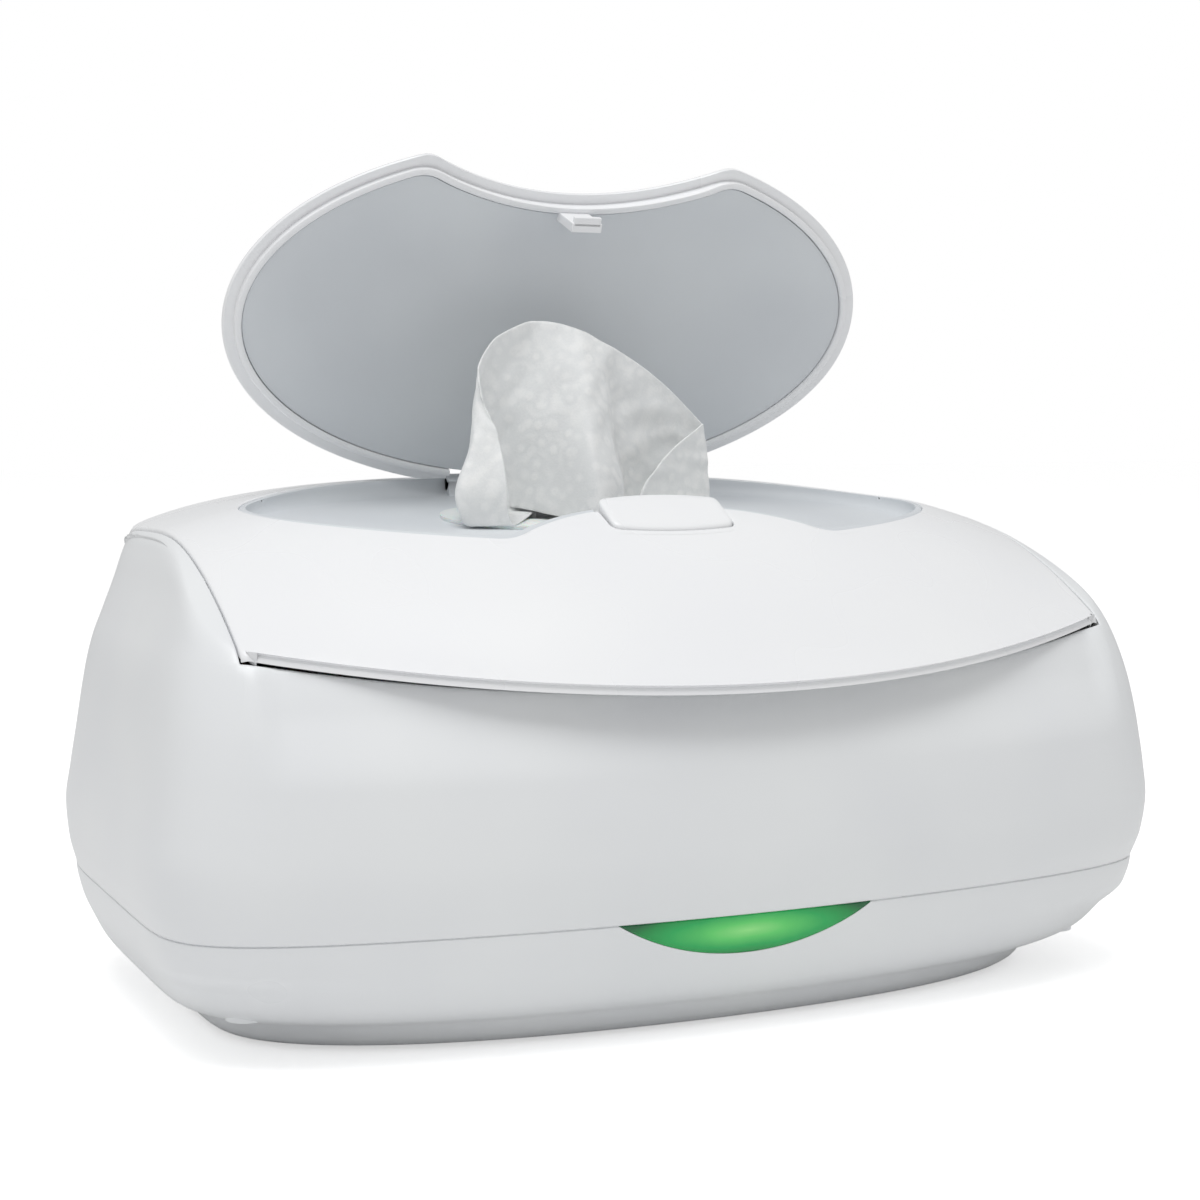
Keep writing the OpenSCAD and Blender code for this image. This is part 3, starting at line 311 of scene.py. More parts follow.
def roll(d, r):
    """How far a rounded edge of radius r drops at distance d from the edge."""
    e = np.clip(r - d, 0, r)
    return r - np.sqrt(r * r - e * e)


def rolled(surface, *edges):
    """A surface rounded off at its edges, each an outline and a radius."""
    return lambda x, y: surface(x, y) - sum(roll(distance(np.c_[x, y], e), r) for e, r in edges)


def patch(bm, outer, holes, step, height, margins=(0.15, 0.5, 1.4)):
    """A surface over a flat outline with holes; returns the vertices of each outline."""
    loops = [outer, *holes]
    rows = [offset(outer, -m) for m in margins] + [offset(h, m) for h in holes for m in margins]
    low, high = outer.min(0), outer.max(0)
    xs = np.arange(low[0], high[0] + step, step)
    ys = np.arange(low[1], high[1] + step, step * 0.866)
    grid = np.array([[x + (j % 2) * step / 2, y] for j, y in enumerate(ys) for x in xs])
    clear = max(margins, default=0) + 0.45 * step
    keep = inside(grid, outer)
    for loop in loops:
        keep &= distance(grid, loop) > clear
    for h in holes:
        keep &= ~inside(grid, h)
    points = np.concatenate([*loops, *rows, grid[keep]])
    edges, start = [], 0
    for loop in loops:
        n = len(loop)
        edges += [(start + i, start + (i + 1) % n) for i in range(n)]
        start += n
    flat, _, faces, origin, _, _ = delaunay_2d_cdt(
        [Vector(p) for p in points], edges, [], 0, 1e-5, True)
    flat = np.array(flat)
    middle = np.array([flat[list(f)].mean(0) for f in faces])
    keep = inside(middle, outer)
    for h in holes:
        keep &= ~inside(middle, h)
    verts = row(bm, np.c_[flat, height(flat[:, 0], flat[:, 1])])
    for f, k in zip(faces, keep):
        if k:
            bm.faces.new([verts[i] for i in f])
    where = {i: verts[k] for k, ids in enumerate(origin) for i in ids}
    rims, start = [], 0
    for loop in loops:
        rims.append([where[start + i] for i in range(len(loop))])
        start += len(loop)
    return rims


def prism(bm, profile, x0, x1):
    """A closed bar along X with a profile of (y, z) points."""
    solid(bm, [[(x, y, z) for y, z in profile] for x in (x0, x1)])


def circle(y, z, r, n=40):
    t = np.linspace(0, 2 * math.pi, n, endpoint=False)
    return np.c_[y + r * np.cos(t), z + r * np.sin(t)]


def split(bm, co, no):
    """Adds a row of edges where a plane cuts the mesh."""
    bmesh.ops.bisect_plane(bm, geom=bm.verts[:] + bm.edges[:] + bm.faces[:], dist=3e-6,
                           plane_co=co, plane_no=no)


def cut(bm, height, drop):
    """Cuts the mesh along z = height(x) and removes faces whose middle drop() picks."""
    def shear(sign):
        for v in bm.verts:
            v.co.z += sign * float(height(1000 * v.co.x)) / 1000
    shear(-1)
    split(bm, (0, 0, 0), (0, 0, 1))
    shear(1)
    gone = [f for f in bm.faces if drop(f.calc_center_median() * 1000)]
    bmesh.ops.delete(bm, geom=gone, context="FACES")


def mesh_of(name, bm):
    """Turns a bmesh into a mesh and frees it."""
    mesh = bpy.data.meshes.new(name)
    bm.to_mesh(mesh)
    bm.free()
    return mesh


def show(name, data):
    """A new object in the scene."""
    obj = bpy.data.objects.new(name, data)
    bpy.context.scene.collection.objects.link(obj)
    return obj


SHARP = 38


def piece(name, bm, body, slot, stands_for=(), closed=True, heart=(0, 0, 70), sharp=SHARP):
    """Turns a bmesh into a shaded object that rides on a body and stands for CAD nodes. An
    open skin is turned to face away from its heart, and edges sharper than an angle stay crisp."""
    bmesh.ops.remove_doubles(bm, verts=bm.verts, dist=2e-6)
    bmesh.ops.recalc_face_normals(bm, faces=bm.faces)
    if not closed:
        c = Vector(heart) / 1000
        out = sum(f.normal.dot(f.calc_center_median() - c) * f.calc_area() for f in bm.faces)
        if out < 0:
            bmesh.ops.reverse_faces(bm, faces=bm.faces)
    mesh = mesh_of(name, bm)
    mesh.shade_smooth()
    mesh.set_sharp_from_angle(angle=math.radians(sharp))
    obj = show(name, mesh)
    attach(obj, body)
    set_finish(obj, slot)
    if stands_for:
        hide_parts(*stands_for)
    return obj


def thicken(obj, t):
    m = obj.modifiers.new("wall", "SOLIDIFY")
    m.thickness = t / 1000
    m.offset = -1


def bake(obj):
    """Applies the modifiers of a piece to its mesh."""
    shown = obj.evaluated_get(bpy.context.evaluated_depsgraph_get())
    mesh = bpy.data.meshes.new_from_object(shown)
    mesh.name = obj.name
    obj.modifiers.clear()
    obj.data = mesh


def carve(obj, cutters):
    """Takes closed cutters, each a function that draws into a bmesh, out of an object."""
    bm = bmesh.new()
    for draw in cutters:
        draw(bm)
    bmesh.ops.recalc_face_normals(bm, faces=bm.faces)
    tool = show("cutter", mesh_of("cutter", bm))
    m = obj.modifiers.new("carve", "BOOLEAN")
    m.object, m.solver, m.use_self = tool, "EXACT", True
    bpy.context.view_layer.update()
    bake(obj)
    bpy.data.objects.remove(tool)
    obj.data.shade_smooth()
    obj.data.set_sharp_from_angle(angle=math.radians(SHARP))


def box_at(low, high):
    """A function that draws a box between two corners."""
    (x0, y0, z0), (x1, y1, z1) = low, high
    rings = [[(x0, y0, z), (x1, y0, z), (x1, y1, z), (x0, y1, z)] for z in (z0, z1)]
    return lambda bm: solid(bm, rings)


# %% [markdown]
# ## The casing
# The whole outer surface is drawn first. It is then sliced beside the lid and along the
# arc under it, and what the lid takes up is removed. The edges along the gap are rolled.

# %% Casing
DECK_Z = 88.0
CHEEK = LIP_HALF + GAP
EDGE_R = 0.7
CASING_ROWS = np.r_[0, 0.004, np.linspace(0.012, 0.8, 66), np.linspace(0.812, 0.93, 22)]
bm = bmesh.new()
skin(bm, [casing_ring(s) for s in CASING_ROWS])
for side in (-1, 1):
    for d in (0, 0.1, 0.3, EDGE_R, 1.4):
        split(bm, (side * (CHEEK + d) / 1000, 0, 0), (1, 0, 0))
for d in (EDGE_R, 0.3, 0.1, 0):
    cut(bm, lambda x: joint_z(max(-CHEEK, min(CHEEK, x))) - d,
        lambda c: d == 0 and abs(c.x) < CHEEK and c.z > joint_z(c.x) - 1e-4)
bm.normal_update()
moved = []
for v in bm.verts:
    x, _, z = 1000 * v.co
    if abs(x) >= CHEEK - 1e-3 and z > joint_z(CHEEK) - 0.5:
        d = abs(x) - CHEEK
    elif abs(x) < CHEEK:
        d = joint_z(x) - z
    else:
        continue
    if 0 <= d + 1e-3 < EDGE_R:
        push = v.normal * (-roll(max(d, 0), EDGE_R) / 1000)
        push.x = 0
        moved.append((v, push))
for v, push in moved:
    v.co += push


def cheek_rim(side):
    """The cut edge beside the lid, in order round a point under the deck."""
    at = [1000 * v.co for v in bm.verts if abs(1000 * v.co.x - side * CHEEK) < 1e-3]
    return sorted((p for p in at if p.z > DECK_Z - 1.5),
                  key=lambda p: -math.atan2(p.z - DECK_Z + 3, p.y))


rims = [cheek_rim(side) for side in (-1, 1)]
casing = piece("casing_shell", bm, "housing", "white_shell", ["casing"], closed=False)
thicken(casing, WALL)

bm = bmesh.new()
for rim in rims:
    bm.faces.new(row(bm, rim))
ring = casing_ring(share(DECK_Z), 1.2, 300)[:, :2]
ring[:, 0] = np.clip(ring[:, 0], -CHEEK, CHEEK)
TUB_W, TUB_D, TUB_POWER = 121.0, 66.0, 5.0


def tub_ring(inset, n=240):
    """The rounded rectangle of the tub's mouth, moved in."""
    w, d = TUB_W - inset, TUB_D - inset
    return plan_ring(w, d, d, TUB_POWER, TUB_POWER, 0, 0, n)


patch(bm, ring, [tub_ring(-GAP, 260)], 30, lambda x, y: np.full(len(x), DECK_Z), ())
BARREL_R, KNUCKLE = 4.5, 8
wall_y = float(back_y(60, DECK_Z)) - WALL / 2
web = [(wall_y, LID_Z - 16), (LID_Y + BARREL_R, LID_Z), (LID_Y, LID_Z),
       (LID_Y - 1, LID_Z - 2.4), (wall_y, LID_Z - 2.4)]
for x0 in (-44 - KNUCKLE, 44, -68 - KNUCKLE, 68):
    prism(bm, circle(LID_Y, LID_Z, BARREL_R), x0, x0 + KNUCKLE)
    prism(bm, web, x0, x0 + KNUCKLE)
piece("casing_deck", bm, "housing", "white_shell", ["casing"])

# %% [markdown]
# ## The base and its lens
# The base is a bowl with a plinth under it. The lens is the part of the same surface
# between the seam and an arc, so it lies flush, with a fine gap round it.

# %% Base
BASE = np.array([
    [1.2, 128.5, 73, 72, 4.5, 17], [2.6, 130.1, 75, 73.4, 4.5, 17],
    [9, 131.9, 81.5, 78, 4.8, 17.5], [10.6, 139, 84, 81, 5.4, 18],
    [14, 144, 88, 86, 6, 18.5], [21, 148, 92.8, 91.5, 6.8, 19],
    [28, 150.8, 95.8, 95, 9, 19], [35.5, 152.1, 97.4, 97, 9, 19],
    [35.99, 151.6, 96.9, 96.5, 9, 19],
])
base_at = [curve(BASE[:, 0], BASE[:, k]) for k in range(1, 6)]
BASE_ROWS = np.r_[1.2, 1.4, 1.8, 2.6, np.arange(3.8, 8.7, 1), 8.8, 9.2, 9.6, 10, 10.4, 10.8, 11.4,
                  np.arange(12.2, 35, 0.8), 35.2, 35.5, 35.8, 35.99]
LENS_HALF, LENS_H = 38.5, 11.0
LENS_R = arc_radius(LENS_HALF, LENS_H)
INLET_X, INLET_Z, INLET_R = 70, 22, 7.5
SCREWS = [(x, y) for x in (-128, 128) for y in (-56, 56)]
SCREW_R = 3.65


def base_ring(z, inset=0.0, n=420):
    w, front, back, power, bow = (float(f(z)) for f in base_at)
    ring = plan_ring(w - inset, front - inset, back - inset, power, min(power, BACK_POWER),
                     bow, BACK_BOW, n)
    return np.c_[ring, np.full(n, z)]


def lens_z(x):
    return SEAM - LENS_H + LENS_R - math.sqrt(max(0, LENS_R**2 - x * x))


def lathe(bm, x, y, profile, n=32, axis=2):
    """A closed turned shape about a line along Z or Y, from (radius, height) points."""
    order = [0, 1, 2] if axis == 2 else [0, 2, 1]
    solid(bm, [np.c_[circle(x, y, r, n), np.full(n, h)][:, order] for r, h in profile])


bm = bmesh.new()
rows = skin(bm, [base_ring(z) for z in BASE_ROWS])
bm.faces.new(rows[0][::-1])
cut(bm, lambda x: lens_z(x) - 0.15,
    lambda c: c.y < 0 and abs(c.x) < 60 and c.z > lens_z(c.x) - 0.15)
base = piece("base_bowl", bm, "housing", "white_shell", ["base_shell"], closed=False,
             heart=(0, 0, 30))
thicken(base, WALL)
cutters = [lambda b: lathe(b, INLET_X, INLET_Z, [(INLET_R + 0.5, 87), (INLET_R + 0.5, 120)], 48, 1)]
for x, y in SCREWS:
    cutters.append(lambda b, x=x, y=y: lathe(b, x, y, [(SCREW_R, -1), (SCREW_R, 21)]))
carve(base, cutters)

bm = bmesh.new()
collar = [(5.6, 80.2), (INLET_R, 80.2), (INLET_R, 86.7), (INLET_R - 0.3, 87), (5.6, 87)]
lathe(bm, INLET_X, INLET_Z, collar, 48, 1)
well = [(SCREW_R, 11.4), (5.5, 11.4), (5.5, 23.5), (2.1, 23.5), (2.1, 21), (SCREW_R, 21)]
for x, y in SCREWS:
    lathe(bm, x, y, well)
piece("base_wells", bm, "housing", "white_shell", ["base_shell"])

# %% Lens
bm = bmesh.new()
skin(bm, [base_ring(z, 0, 900) for z in BASE_ROWS if z > 20])
cut(bm, lens_z, lambda c: c.y > 0 or abs(c.x) > 60 or c.z < lens_z(c.x))
lens = piece("lens", bm, "housing", "lens_green", ["lamp_lens"], closed=False, heart=(0, 0, 30))
thicken(lens, WALL)

# %% [markdown]
# ## The outline of the flap
# An ellipse with a notch for the release button. The horns beside the notch are rounded,
# so the outline can be moved in and out for the rim, the panel and the recess.

# %% Outlines of the flap and the button
def spaced(line, n, cut_back=0, last=True):
    """The same curve through n even points, cut back at both ends."""
    t = np.r_[0, np.cumsum(np.linalg.norm(np.diff(line, axis=0), axis=1))]
    at = np.linspace(cut_back, t[-1] - cut_back, n, endpoint=last)
    return np.c_[np.interp(at, t, line[:, 0]), np.interp(at, t, line[:, 1])]


def rounded(segments, cut_back, n):
    """Joins curves end to end, rounds their corners and spaces the points evenly."""
    trimmed = [spaced(line, 400, cut_back) for line in segments]
    whole = []
    for i, line in enumerate(trimmed):
        a, c, b = line[-1], segments[i][-1], trimmed[(i + 1) % len(trimmed)][0]
        s = np.linspace(0, 1, 40)[1:-1, None]
        whole += [line, (1 - s) ** 2 * a + 2 * s * (1 - s) * c + s * s * b]
    return spaced(np.concatenate(whole + [trimmed[0][:1]]), n, last=False)


FLAP_A, FLAP_B, FLAP_MID = 107.5, 60.0, CREST_Y - 10
HORN_X, NOTCH = 50.0, 12.6
NOTCH_R = arc_radius(HORN_X, NOTCH)
horn = math.acos(HORN_X / FLAP_A)
NOTCH_Y = FLAP_MID - FLAP_B * math.sin(horn) + NOTCH
t = np.linspace(-horn, math.pi + horn, 1200)
oval_part = np.c_[FLAP_A * np.cos(t), FLAP_MID + FLAP_B * np.sin(t)]
t = np.linspace(-HORN_X, HORN_X, 300)
notch_part = np.c_[t, NOTCH_Y - NOTCH_R + np.sqrt(NOTCH_R**2 - t * t)]
FLAP_LINE = rounded([oval_part, notch_part], 7, 300)
SHARP_LINE = rounded([oval_part, notch_part], 3, 300)
HINGE_EDGE = FLAP_Y - 1.8


def edge_line(d):
    """The flap's outline moved out by d. Its horns are crisp outside and rounder inside."""
    inner = min(1, max(0, -d / 3.4))
    return offset(SHARP_LINE + (FLAP_LINE - SHARP_LINE) * inner, d)


def flap_line(d):
    """The same outline moved in by d and cut straight along the hinge."""
    loop = edge_line(-d)
    return np.c_[loop[:, 0], np.minimum(loop[:, 1], HINGE_EDGE)]


BUTTON_W, BUTTON_D = 38.0, 15.0
BUTTON_BACK = NOTCH_Y - 1.4
BUTTON_FRONT = BUTTON_BACK - BUTTON_D - 0.6
t = np.linspace(-BUTTON_W / 2, BUTTON_W / 2, 80)
front_edge = np.c_[t, BUTTON_FRONT + 2 * (2 * t / BUTTON_W) ** 2]
rear_edge = np.c_[t, BUTTON_BACK - NOTCH_R + np.sqrt(NOTCH_R**2 - t * t)][::-1]
s = np.linspace(0, 1, 30)[:, None]
BUTTON_LINE = rounded([front_edge, front_edge[-1] * (1 - s) + rear_edge[0] * s, rear_edge,
                       rear_edge[-1] * (1 - s) + front_edge[0] * s], 2.2, 120)

# %% [markdown]
# ## The lid
# The top of the lid is a patch of the dome with two holes, for the recess and the button.
# Below its edges come the rear wall, the thin front lip and the two flat sides.

# %% Lid
LID_LOW = 0.4
lip_x = np.linspace(-LIP_HALF, LIP_HALF, 150)
back_x = LIP_HALF * np.cos(np.linspace(0, math.pi, 170))
end_front, end_back = float(lip_y(LIP_HALF)), float(back_y(LIP_HALF, top_z(LIP_HALF)))
side_ys = np.linspace(end_front, end_back, 70)[1:-1]
lid_line = np.concatenate([
    np.c_[lip_x, lip_y(lip_x)],
    np.c_[np.full(68, LIP_HALF), side_ys],
    np.c_[back_x, back_y(back_x, top_z(back_x))],
    np.c_[np.full(68, -LIP_HALF), side_ys[::-1]],
])
recess_hole = edge_line(2.9)
button_hole = offset(BUTTON_LINE, 0.5)


def lid_height(x, y):
    z = rolled(dome, (recess_hole, 0.8), (button_hole, 0.5))(x, y)
    return z - roll(LIP_HALF - abs(x), EDGE_R) - roll((y - lip_y(x)) * 0.95, 1.2)


bm = bmesh.new()
rim, recess_rim, button_rim = patch(bm, lid_line, [recess_hole, button_hole], 3.6, lid_height)
front, right, back, left = rim[:150], rim[150:218], rim[218:388], rim[388:]
lip_rows = [front]
for dy, dz in ((0.05, 0.35), (0.25, 0.1), (0.8, 0)):
    lip_rows.append(row(bm, np.c_[lip_x, lip_y(lip_x) + dy, joint_z(lip_x) + LID_LOW + dz]))
back_rows = [back]
for e in np.linspace(0, 1, 44)[1:] ** 1.5:
    z = top_z(back_x) + (joint_z(back_x) + LID_LOW - top_z(back_x)) * e
    back_rows.append(row(bm, np.c_[back_x, back_y(back_x, z), z]))
for rows in (lip_rows, back_rows):
    join(bm, rows, closed=False)
bm.faces.new([front[-1], *right, back[0], *(r[0] for r in back_rows[1:]),
              *(r[-1] for r in lip_rows[:0:-1])])
bm.faces.new([back[-1], *left, front[0], *(r[0] for r in lip_rows[1:]),
              *(r[-1] for r in back_rows[:0:-1])])
for rim, depth, other in ((recess_rim, 5, button_hole), (button_rim, 4, recess_hole)):
    before = set(bm.faces)
    strip(bm, rim, row(bm, [1000 * v.co - Vector((0, 0, depth)) for v in rim]))
    made = [f for f in bm.faces if f not in before]
    middles = np.array([1000 * f.calc_center_median() for f in made])[:, :2]
    open_here = [f for f, k in zip(made, inside(middles, other)) if k]
    bmesh.ops.delete(bm, geom=open_here, context="FACES")
lid = piece("lid_shell", bm, "lid", "lid_white", ["main_lid"], closed=False, heart=(0, 0, 60))
thicken(lid, LID_WALL)

bm = bmesh.new()
web = [(LID_Y - BARREL_R, LID_Z + 0.9), (LID_Y, LID_Z), (LID_Y + BARREL_R, LID_Z),
       (float(back_y(60, LID_Z + 15)) - 1, LID_Z + 15),
       (float(back_y(60, LID_Z + 2)) - 1.4, LID_Z + 2), (LID_Y - 2, LID_Z + 0.9)]
for x0 in (52.3, -67.7):
    prism(bm, circle(LID_Y, LID_Z, BARREL_R), x0, x0 + 15.4)
    prism(bm, web, x0, x0 + 15.4)
piece("lid_knuckles", bm, "lid", "lid_white", ["main_lid"])

# %% [markdown]
# ## The recess
# A grey dish under the flap: a sloping floor with the dispenser's oval hole, a soft fillet
# and a wall that follows the dome's edge. It opens at the back of the button and over the latch.

# %% Recess basin
def floor_at(y):
    """Height of the recess's sloping floor."""
    return TOP - 13.6 + 0.1 * y


def oval(w, d, y, n=120):
    """A slot of width w and depth d with round ends."""
    t = np.linspace(0, 2 * math.pi, n, endpoint=False)
    return np.c_[np.sign(np.cos(t)) * (w - d) / 2 + d / 2 * np.cos(t), y + d / 2 * np.sin(t)]


HOLE_Y = FLAP_MID + 3
FLOOR_T = 2
hole = oval(92, 40, HOLE_Y)
bm = bmesh.new()
top_rim, top_hole = patch(bm, edge_line(-2.2), [hole], 5, lambda x, y: floor_at(y), (1.5,))
profile = [(-1.3, 0, 0.25), (-0.3, 0, 1.0), (0.5, 0, 2.3), (0.8, 0, 3.6), (0.8, 1, 0.95),
           (0.9, 1, 0.7), (1.1, 1, 0.6), (2.6, 1, 0.6), (2.8, 1, 0.8), (2.8, 0, -FLOOR_T)]
walls(bm, top_rim, edge_line, profile, dome, lambda x, y: floor_at(y))
_, low_hole = patch(bm, edge_line(2.8), [hole], 9, lambda x, y: floor_at(y) - FLOOR_T, ())
strip(bm, top_hole, low_hole)
basin = piece("recess_dish", bm, "lid", "cool_grey", ["recess_basin"])
CATCH_Y = NOTCH_Y + 3.6
LUG_X, LUG_R = 24, 2.7
carve(basin, [
    box_at((-20.4, NOTCH_Y - 12, BUTTON_Z + 1.6), (20.4, NOTCH_Y + 0.6, 160)),
    box_at((-7, CATCH_Y - 2.2, 117), (7, CATCH_Y + 8.8, 157)),
    lambda b: prism(b, circle(FLAP_Y, FLAP_Z, LUG_R + GAP), -LUG_X, LUG_X),
])
bm = bmesh.new()
post = [(FLAP_Y - LUG_R, FLAP_Z), (FLAP_Y - 3.7, floor_at(FLAP_Y) - 1),
        (FLAP_Y + 2.2, floor_at(FLAP_Y) - 1), (FLAP_Y + 2.2, FLAP_Z)]
for x in (-LUG_X, LUG_X):
    prism(bm, circle(FLAP_Y, FLAP_Z, LUG_R), x - 3, x + 3)
    prism(bm, post, x - 3, x + 3)
piece("recess_lugs", bm, "lid", "cool_grey", ["recess_basin"])

# %% [markdown]
# ## The flap
# It is made closed, as part of the dome, and then turned about its hinge to stand open.
# A thin lip runs round it, then a raised rim, and a grey panel fills the rim.

# %% Flap
def foot(x, y):
    """Height of the underside of the flap's rim when it is closed."""
    return np.maximum(dome(x, y) - 8, floor_at(y) + 0.8)


def open_up(bm):
    """Turns what is drawn closed about the flap's hinge."""
    bmesh.ops.rotate(bm, verts=bm.verts, cent=Vector((0, FLAP_Y, FLAP_Z)) / 1000,
                     matrix=Matrix.Rotation(-FLAP_SWING, 3, "X"))


bm = bmesh.new()
line = flap_line(0)
(rim,) = patch(bm, line, [], 4, rolled(dome, (line, 1.9)), (0.15, 0.5, 1.2, 2.4))
RIM_IN, FLAP_T = 5.6, 2.2
profile = [(0, 1, 2.5), (0.2, 1, 2.9), (0.7, 1, 3.1), (3.1, 1, 3.1), (3.35, 1, 3.2), (3.4, 1, 3.5),
           (3.4, 0, 0.6), (3.55, 0, 0.2), (3.9, 0, 0), (5.1, 0, 0), (5.45, 0, 0.2),
           (RIM_IN, 0, 0.6), (RIM_IN, 1, FLAP_T)]
walls(bm, rim, flap_line, profile, dome, foot)
patch(bm, flap_line(RIM_IN), [], 6, lambda x, y: dome(x, y) - FLAP_T, ())
slots = [box_at((-8.5, FLAP_Y - 4.7, 128), (8.5, 80, 168))]
for x in (-LUG_X, LUG_X):
    slots.append(box_at((x - 3.6, FLAP_Y - 7.7, 128), (x + 3.6, 80, 168)))
flap = piece("flap_skin", bm, "flap", "lid_white", ["flap_cover"])
carve(flap, slots)
bm = bmesh.new()
bm.from_mesh(flap.data)
open_up(bm)
bm.to_mesh(flap.data)
bm.free()

# %% Latch tongue and hinge knuckles of the flap
BARB_T, CATCH_T, CATCH_GAP, HOOK_GAP = 1.4, 1.4, 0.5, 0.95
BARB_Z = floor_at(NOTCH_Y - 3) - FLOOR_T - CATCH_GAP - CATCH_T - HOOK_GAP - BARB_T
bm = bmesh.new()
box_at((-5, CATCH_Y + 1.4, BARB_Z), (5, CATCH_Y + 4.4, float(dome(0, CATCH_Y)) - 2))(bm)
box_at((-4.5, CATCH_Y - 0.4, BARB_Z), (4.5, CATCH_Y + 2.6, BARB_Z + BARB_T))(bm)
arm = [(FLAP_Y, FLAP_Z - LUG_R), (FLAP_Y, FLAP_Z + 2), (FLAP_Y - 9, FLAP_Z + 1.2),
       (FLAP_Y - 9, FLAP_Z - 2.4)]
for x in (-12, 12):
    prism(bm, circle(FLAP_Y, FLAP_Z, LUG_R), x - 3.5, x + 3.5)
    prism(bm, arm, x - 3.5, x + 3.5)
open_up(bm)
tongue = piece("flap_latch", bm, "flap", "lid_white", ["flap_cover"])
m = tongue.modifiers.new("edges", "BEVEL")
m.width, m.segments = 0.0003, 2

# %% Flap panel
bm = bmesh.new()
line = flap_line(RIM_IN + 0.15)
patch(bm, line, [], 4,
      lambda x, y: foot(x, y) + 0.9 + roll(distance(np.c_[x, y], line), 0.4), (0.15, 0.5))
open_up(bm)
above = Matrix.Rotation(-FLAP_SWING, 3, "X") @ Vector((0, -58, 150))
panel = piece("flap_lining", bm, "flap", "cool_grey", ["flap_panel"], closed=False,
              heart=(0, FLAP_Y + above.y, FLAP_Z + above.z))
thicken(panel, 1.6)

# %% Release button
def button_top(x, y):
    """Height of the button's surface, which rises towards the flap."""
    return dome(x, y) + 0.6 + 2.2 * (y - BUTTON_FRONT) / BUTTON_D


bm = bmesh.new()
(rim,) = patch(bm, BUTTON_LINE, [], 1.6, rolled(button_top, (BUTTON_LINE, 0.9)), (0.1, 0.3, 0.7))
rows = walls(bm, rim, lambda d: offset(BUTTON_LINE, d), [(0, 1, 1.3), (0, 1, 4.1), (-0.3, 1, 4.4)],
             button_top)
bm.faces.new(rows[-1][::-1])
prism(bm, circle(BUTTON_Y, BUTTON_Z, 2.2), -18, 18)
hook_low = (-5, NOTCH_Y - 6.4, BARB_Z + BARB_T + HOOK_GAP)
box_at(hook_low, (5, CATCH_Y, hook_low[2] + CATCH_T))(bm)
box_at(hook_low, (5, NOTCH_Y - 4.4, float(button_top(0, NOTCH_Y - 5)) - 2))(bm)
piece("button", bm, "button", "lid_white", ["release_button"])

# %% [markdown]
# ## Springs under the button
# A spring is shorter when the button is down. Its CAD mesh is copied and its loose triangles are
# joined.

# %% Button springs
bm = bmesh.new()
bm.from_mesh(bpy.data.objects["button_spring"].data)
springs = piece("coil_springs", bm, "lid", "bright_metal", ["button_spring"])
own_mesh(springs)

# %% [markdown]
# ## The tub and the liner over it
# Both are thin trays, so each is one skin that runs down the outside and up the inside.

# %% Tub and lid liner
FLANGE, FLANGE_T, TUB_WALL, DRAFT = 6.0, 2.2, 2.0, 9
TUB_Z, TUB_TOP = 1000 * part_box("tub")[0].z, DECK_Z + FLANGE_T


def tray(table, grown=0, n=240):
    """Level rings of the tub's outline, each from a height and an inset."""
    return [np.c_[tub_ring(inset - grown, n), np.full(n, z)] for z, inset in table]


def drafted(z, inset):
    """A row of the tub's wall, which leans in towards the bottom."""
    return z, inset + DRAFT * (DECK_Z - z) / (DECK_Z - TUB_Z)


outer_wall = [(TUB_Z, 16), (TUB_Z + 0.3, 14.4), (TUB_Z + 1.2, 12), (TUB_Z + 2.6, 10)]
outer_wall += [drafted(z, 0) for z in np.linspace(TUB_Z + 4.5, DECK_Z - 1.5, 24)]
flange = [(DECK_Z - 0.5, -0.4), (DECK_Z, -1.5), (DECK_Z, -FLANGE + 0.3), (DECK_Z + 0.3, -FLANGE),
          (TUB_TOP - 0.4, -FLANGE), (TUB_TOP, -FLANGE + 0.4), (TUB_TOP, 0.6), (TUB_TOP - 0.4, 1.6),
          (TUB_TOP - 1.4, 2.2)]
inner_wall = [drafted(z, TUB_WALL) for z in np.linspace(DECK_Z - 1.5, TUB_Z + 6.5, 24)]
inner_wall += [(TUB_Z + 4.4, 12.4), (TUB_Z + 3, 14), (TUB_Z + 2.3, 16), (TUB_Z + TUB_WALL, 18.6)]
bm = bmesh.new()
solid(bm, tray(outer_wall + flange + inner_wall))
piece("tub_tray", bm, "housing", "tub_plastic", ["tub"])

LINER_TOP, LINER_Z, LINER_T, ROOF_IN = floor_at(0) - 13, 1000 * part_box("lid_liner")[0].z, 2.0, 25
LINER_BRIM = LINER_Z + LINER_T
over = [(LINER_TOP, ROOF_IN), (LINER_TOP, 22.6), (LINER_TOP - 0.5, 21.4), (LINER_TOP - 4, 17.5),
        (LINER_Z + 12, 13), (LINER_BRIM + 0.8, 9.6), (LINER_BRIM, 8.8), (LINER_BRIM, 1),
        (LINER_BRIM - 0.4, 0.6), (LINER_Z + 0.4, 0.6), (LINER_Z, 1), (LINER_Z, 11.4)]
under = [(LINER_Z + 12, 15.2), (LINER_TOP - 6, 20), (LINER_TOP - LINER_T, ROOF_IN)]
bm = bmesh.new()
skin(bm, tray(over + under, FLANGE))
roof = tub_ring(ROOF_IN - FLANGE)
outer_oval, inner_oval = oval(100, 48, HOLE_Y), oval(96, 44, HOLE_Y)
_, top_oval = patch(bm, roof, [outer_oval], 8, lambda x, y: LINER_TOP + 0 * x, ())
_, low_oval = patch(bm, roof, [inner_oval], 8, lambda x, y: LINER_TOP - LINER_T + 0 * x, ())
chimney = floor_at(HOLE_Y - 25) - 3.4
up = row(bm, np.c_[outer_oval, np.full(len(outer_oval), chimney)])
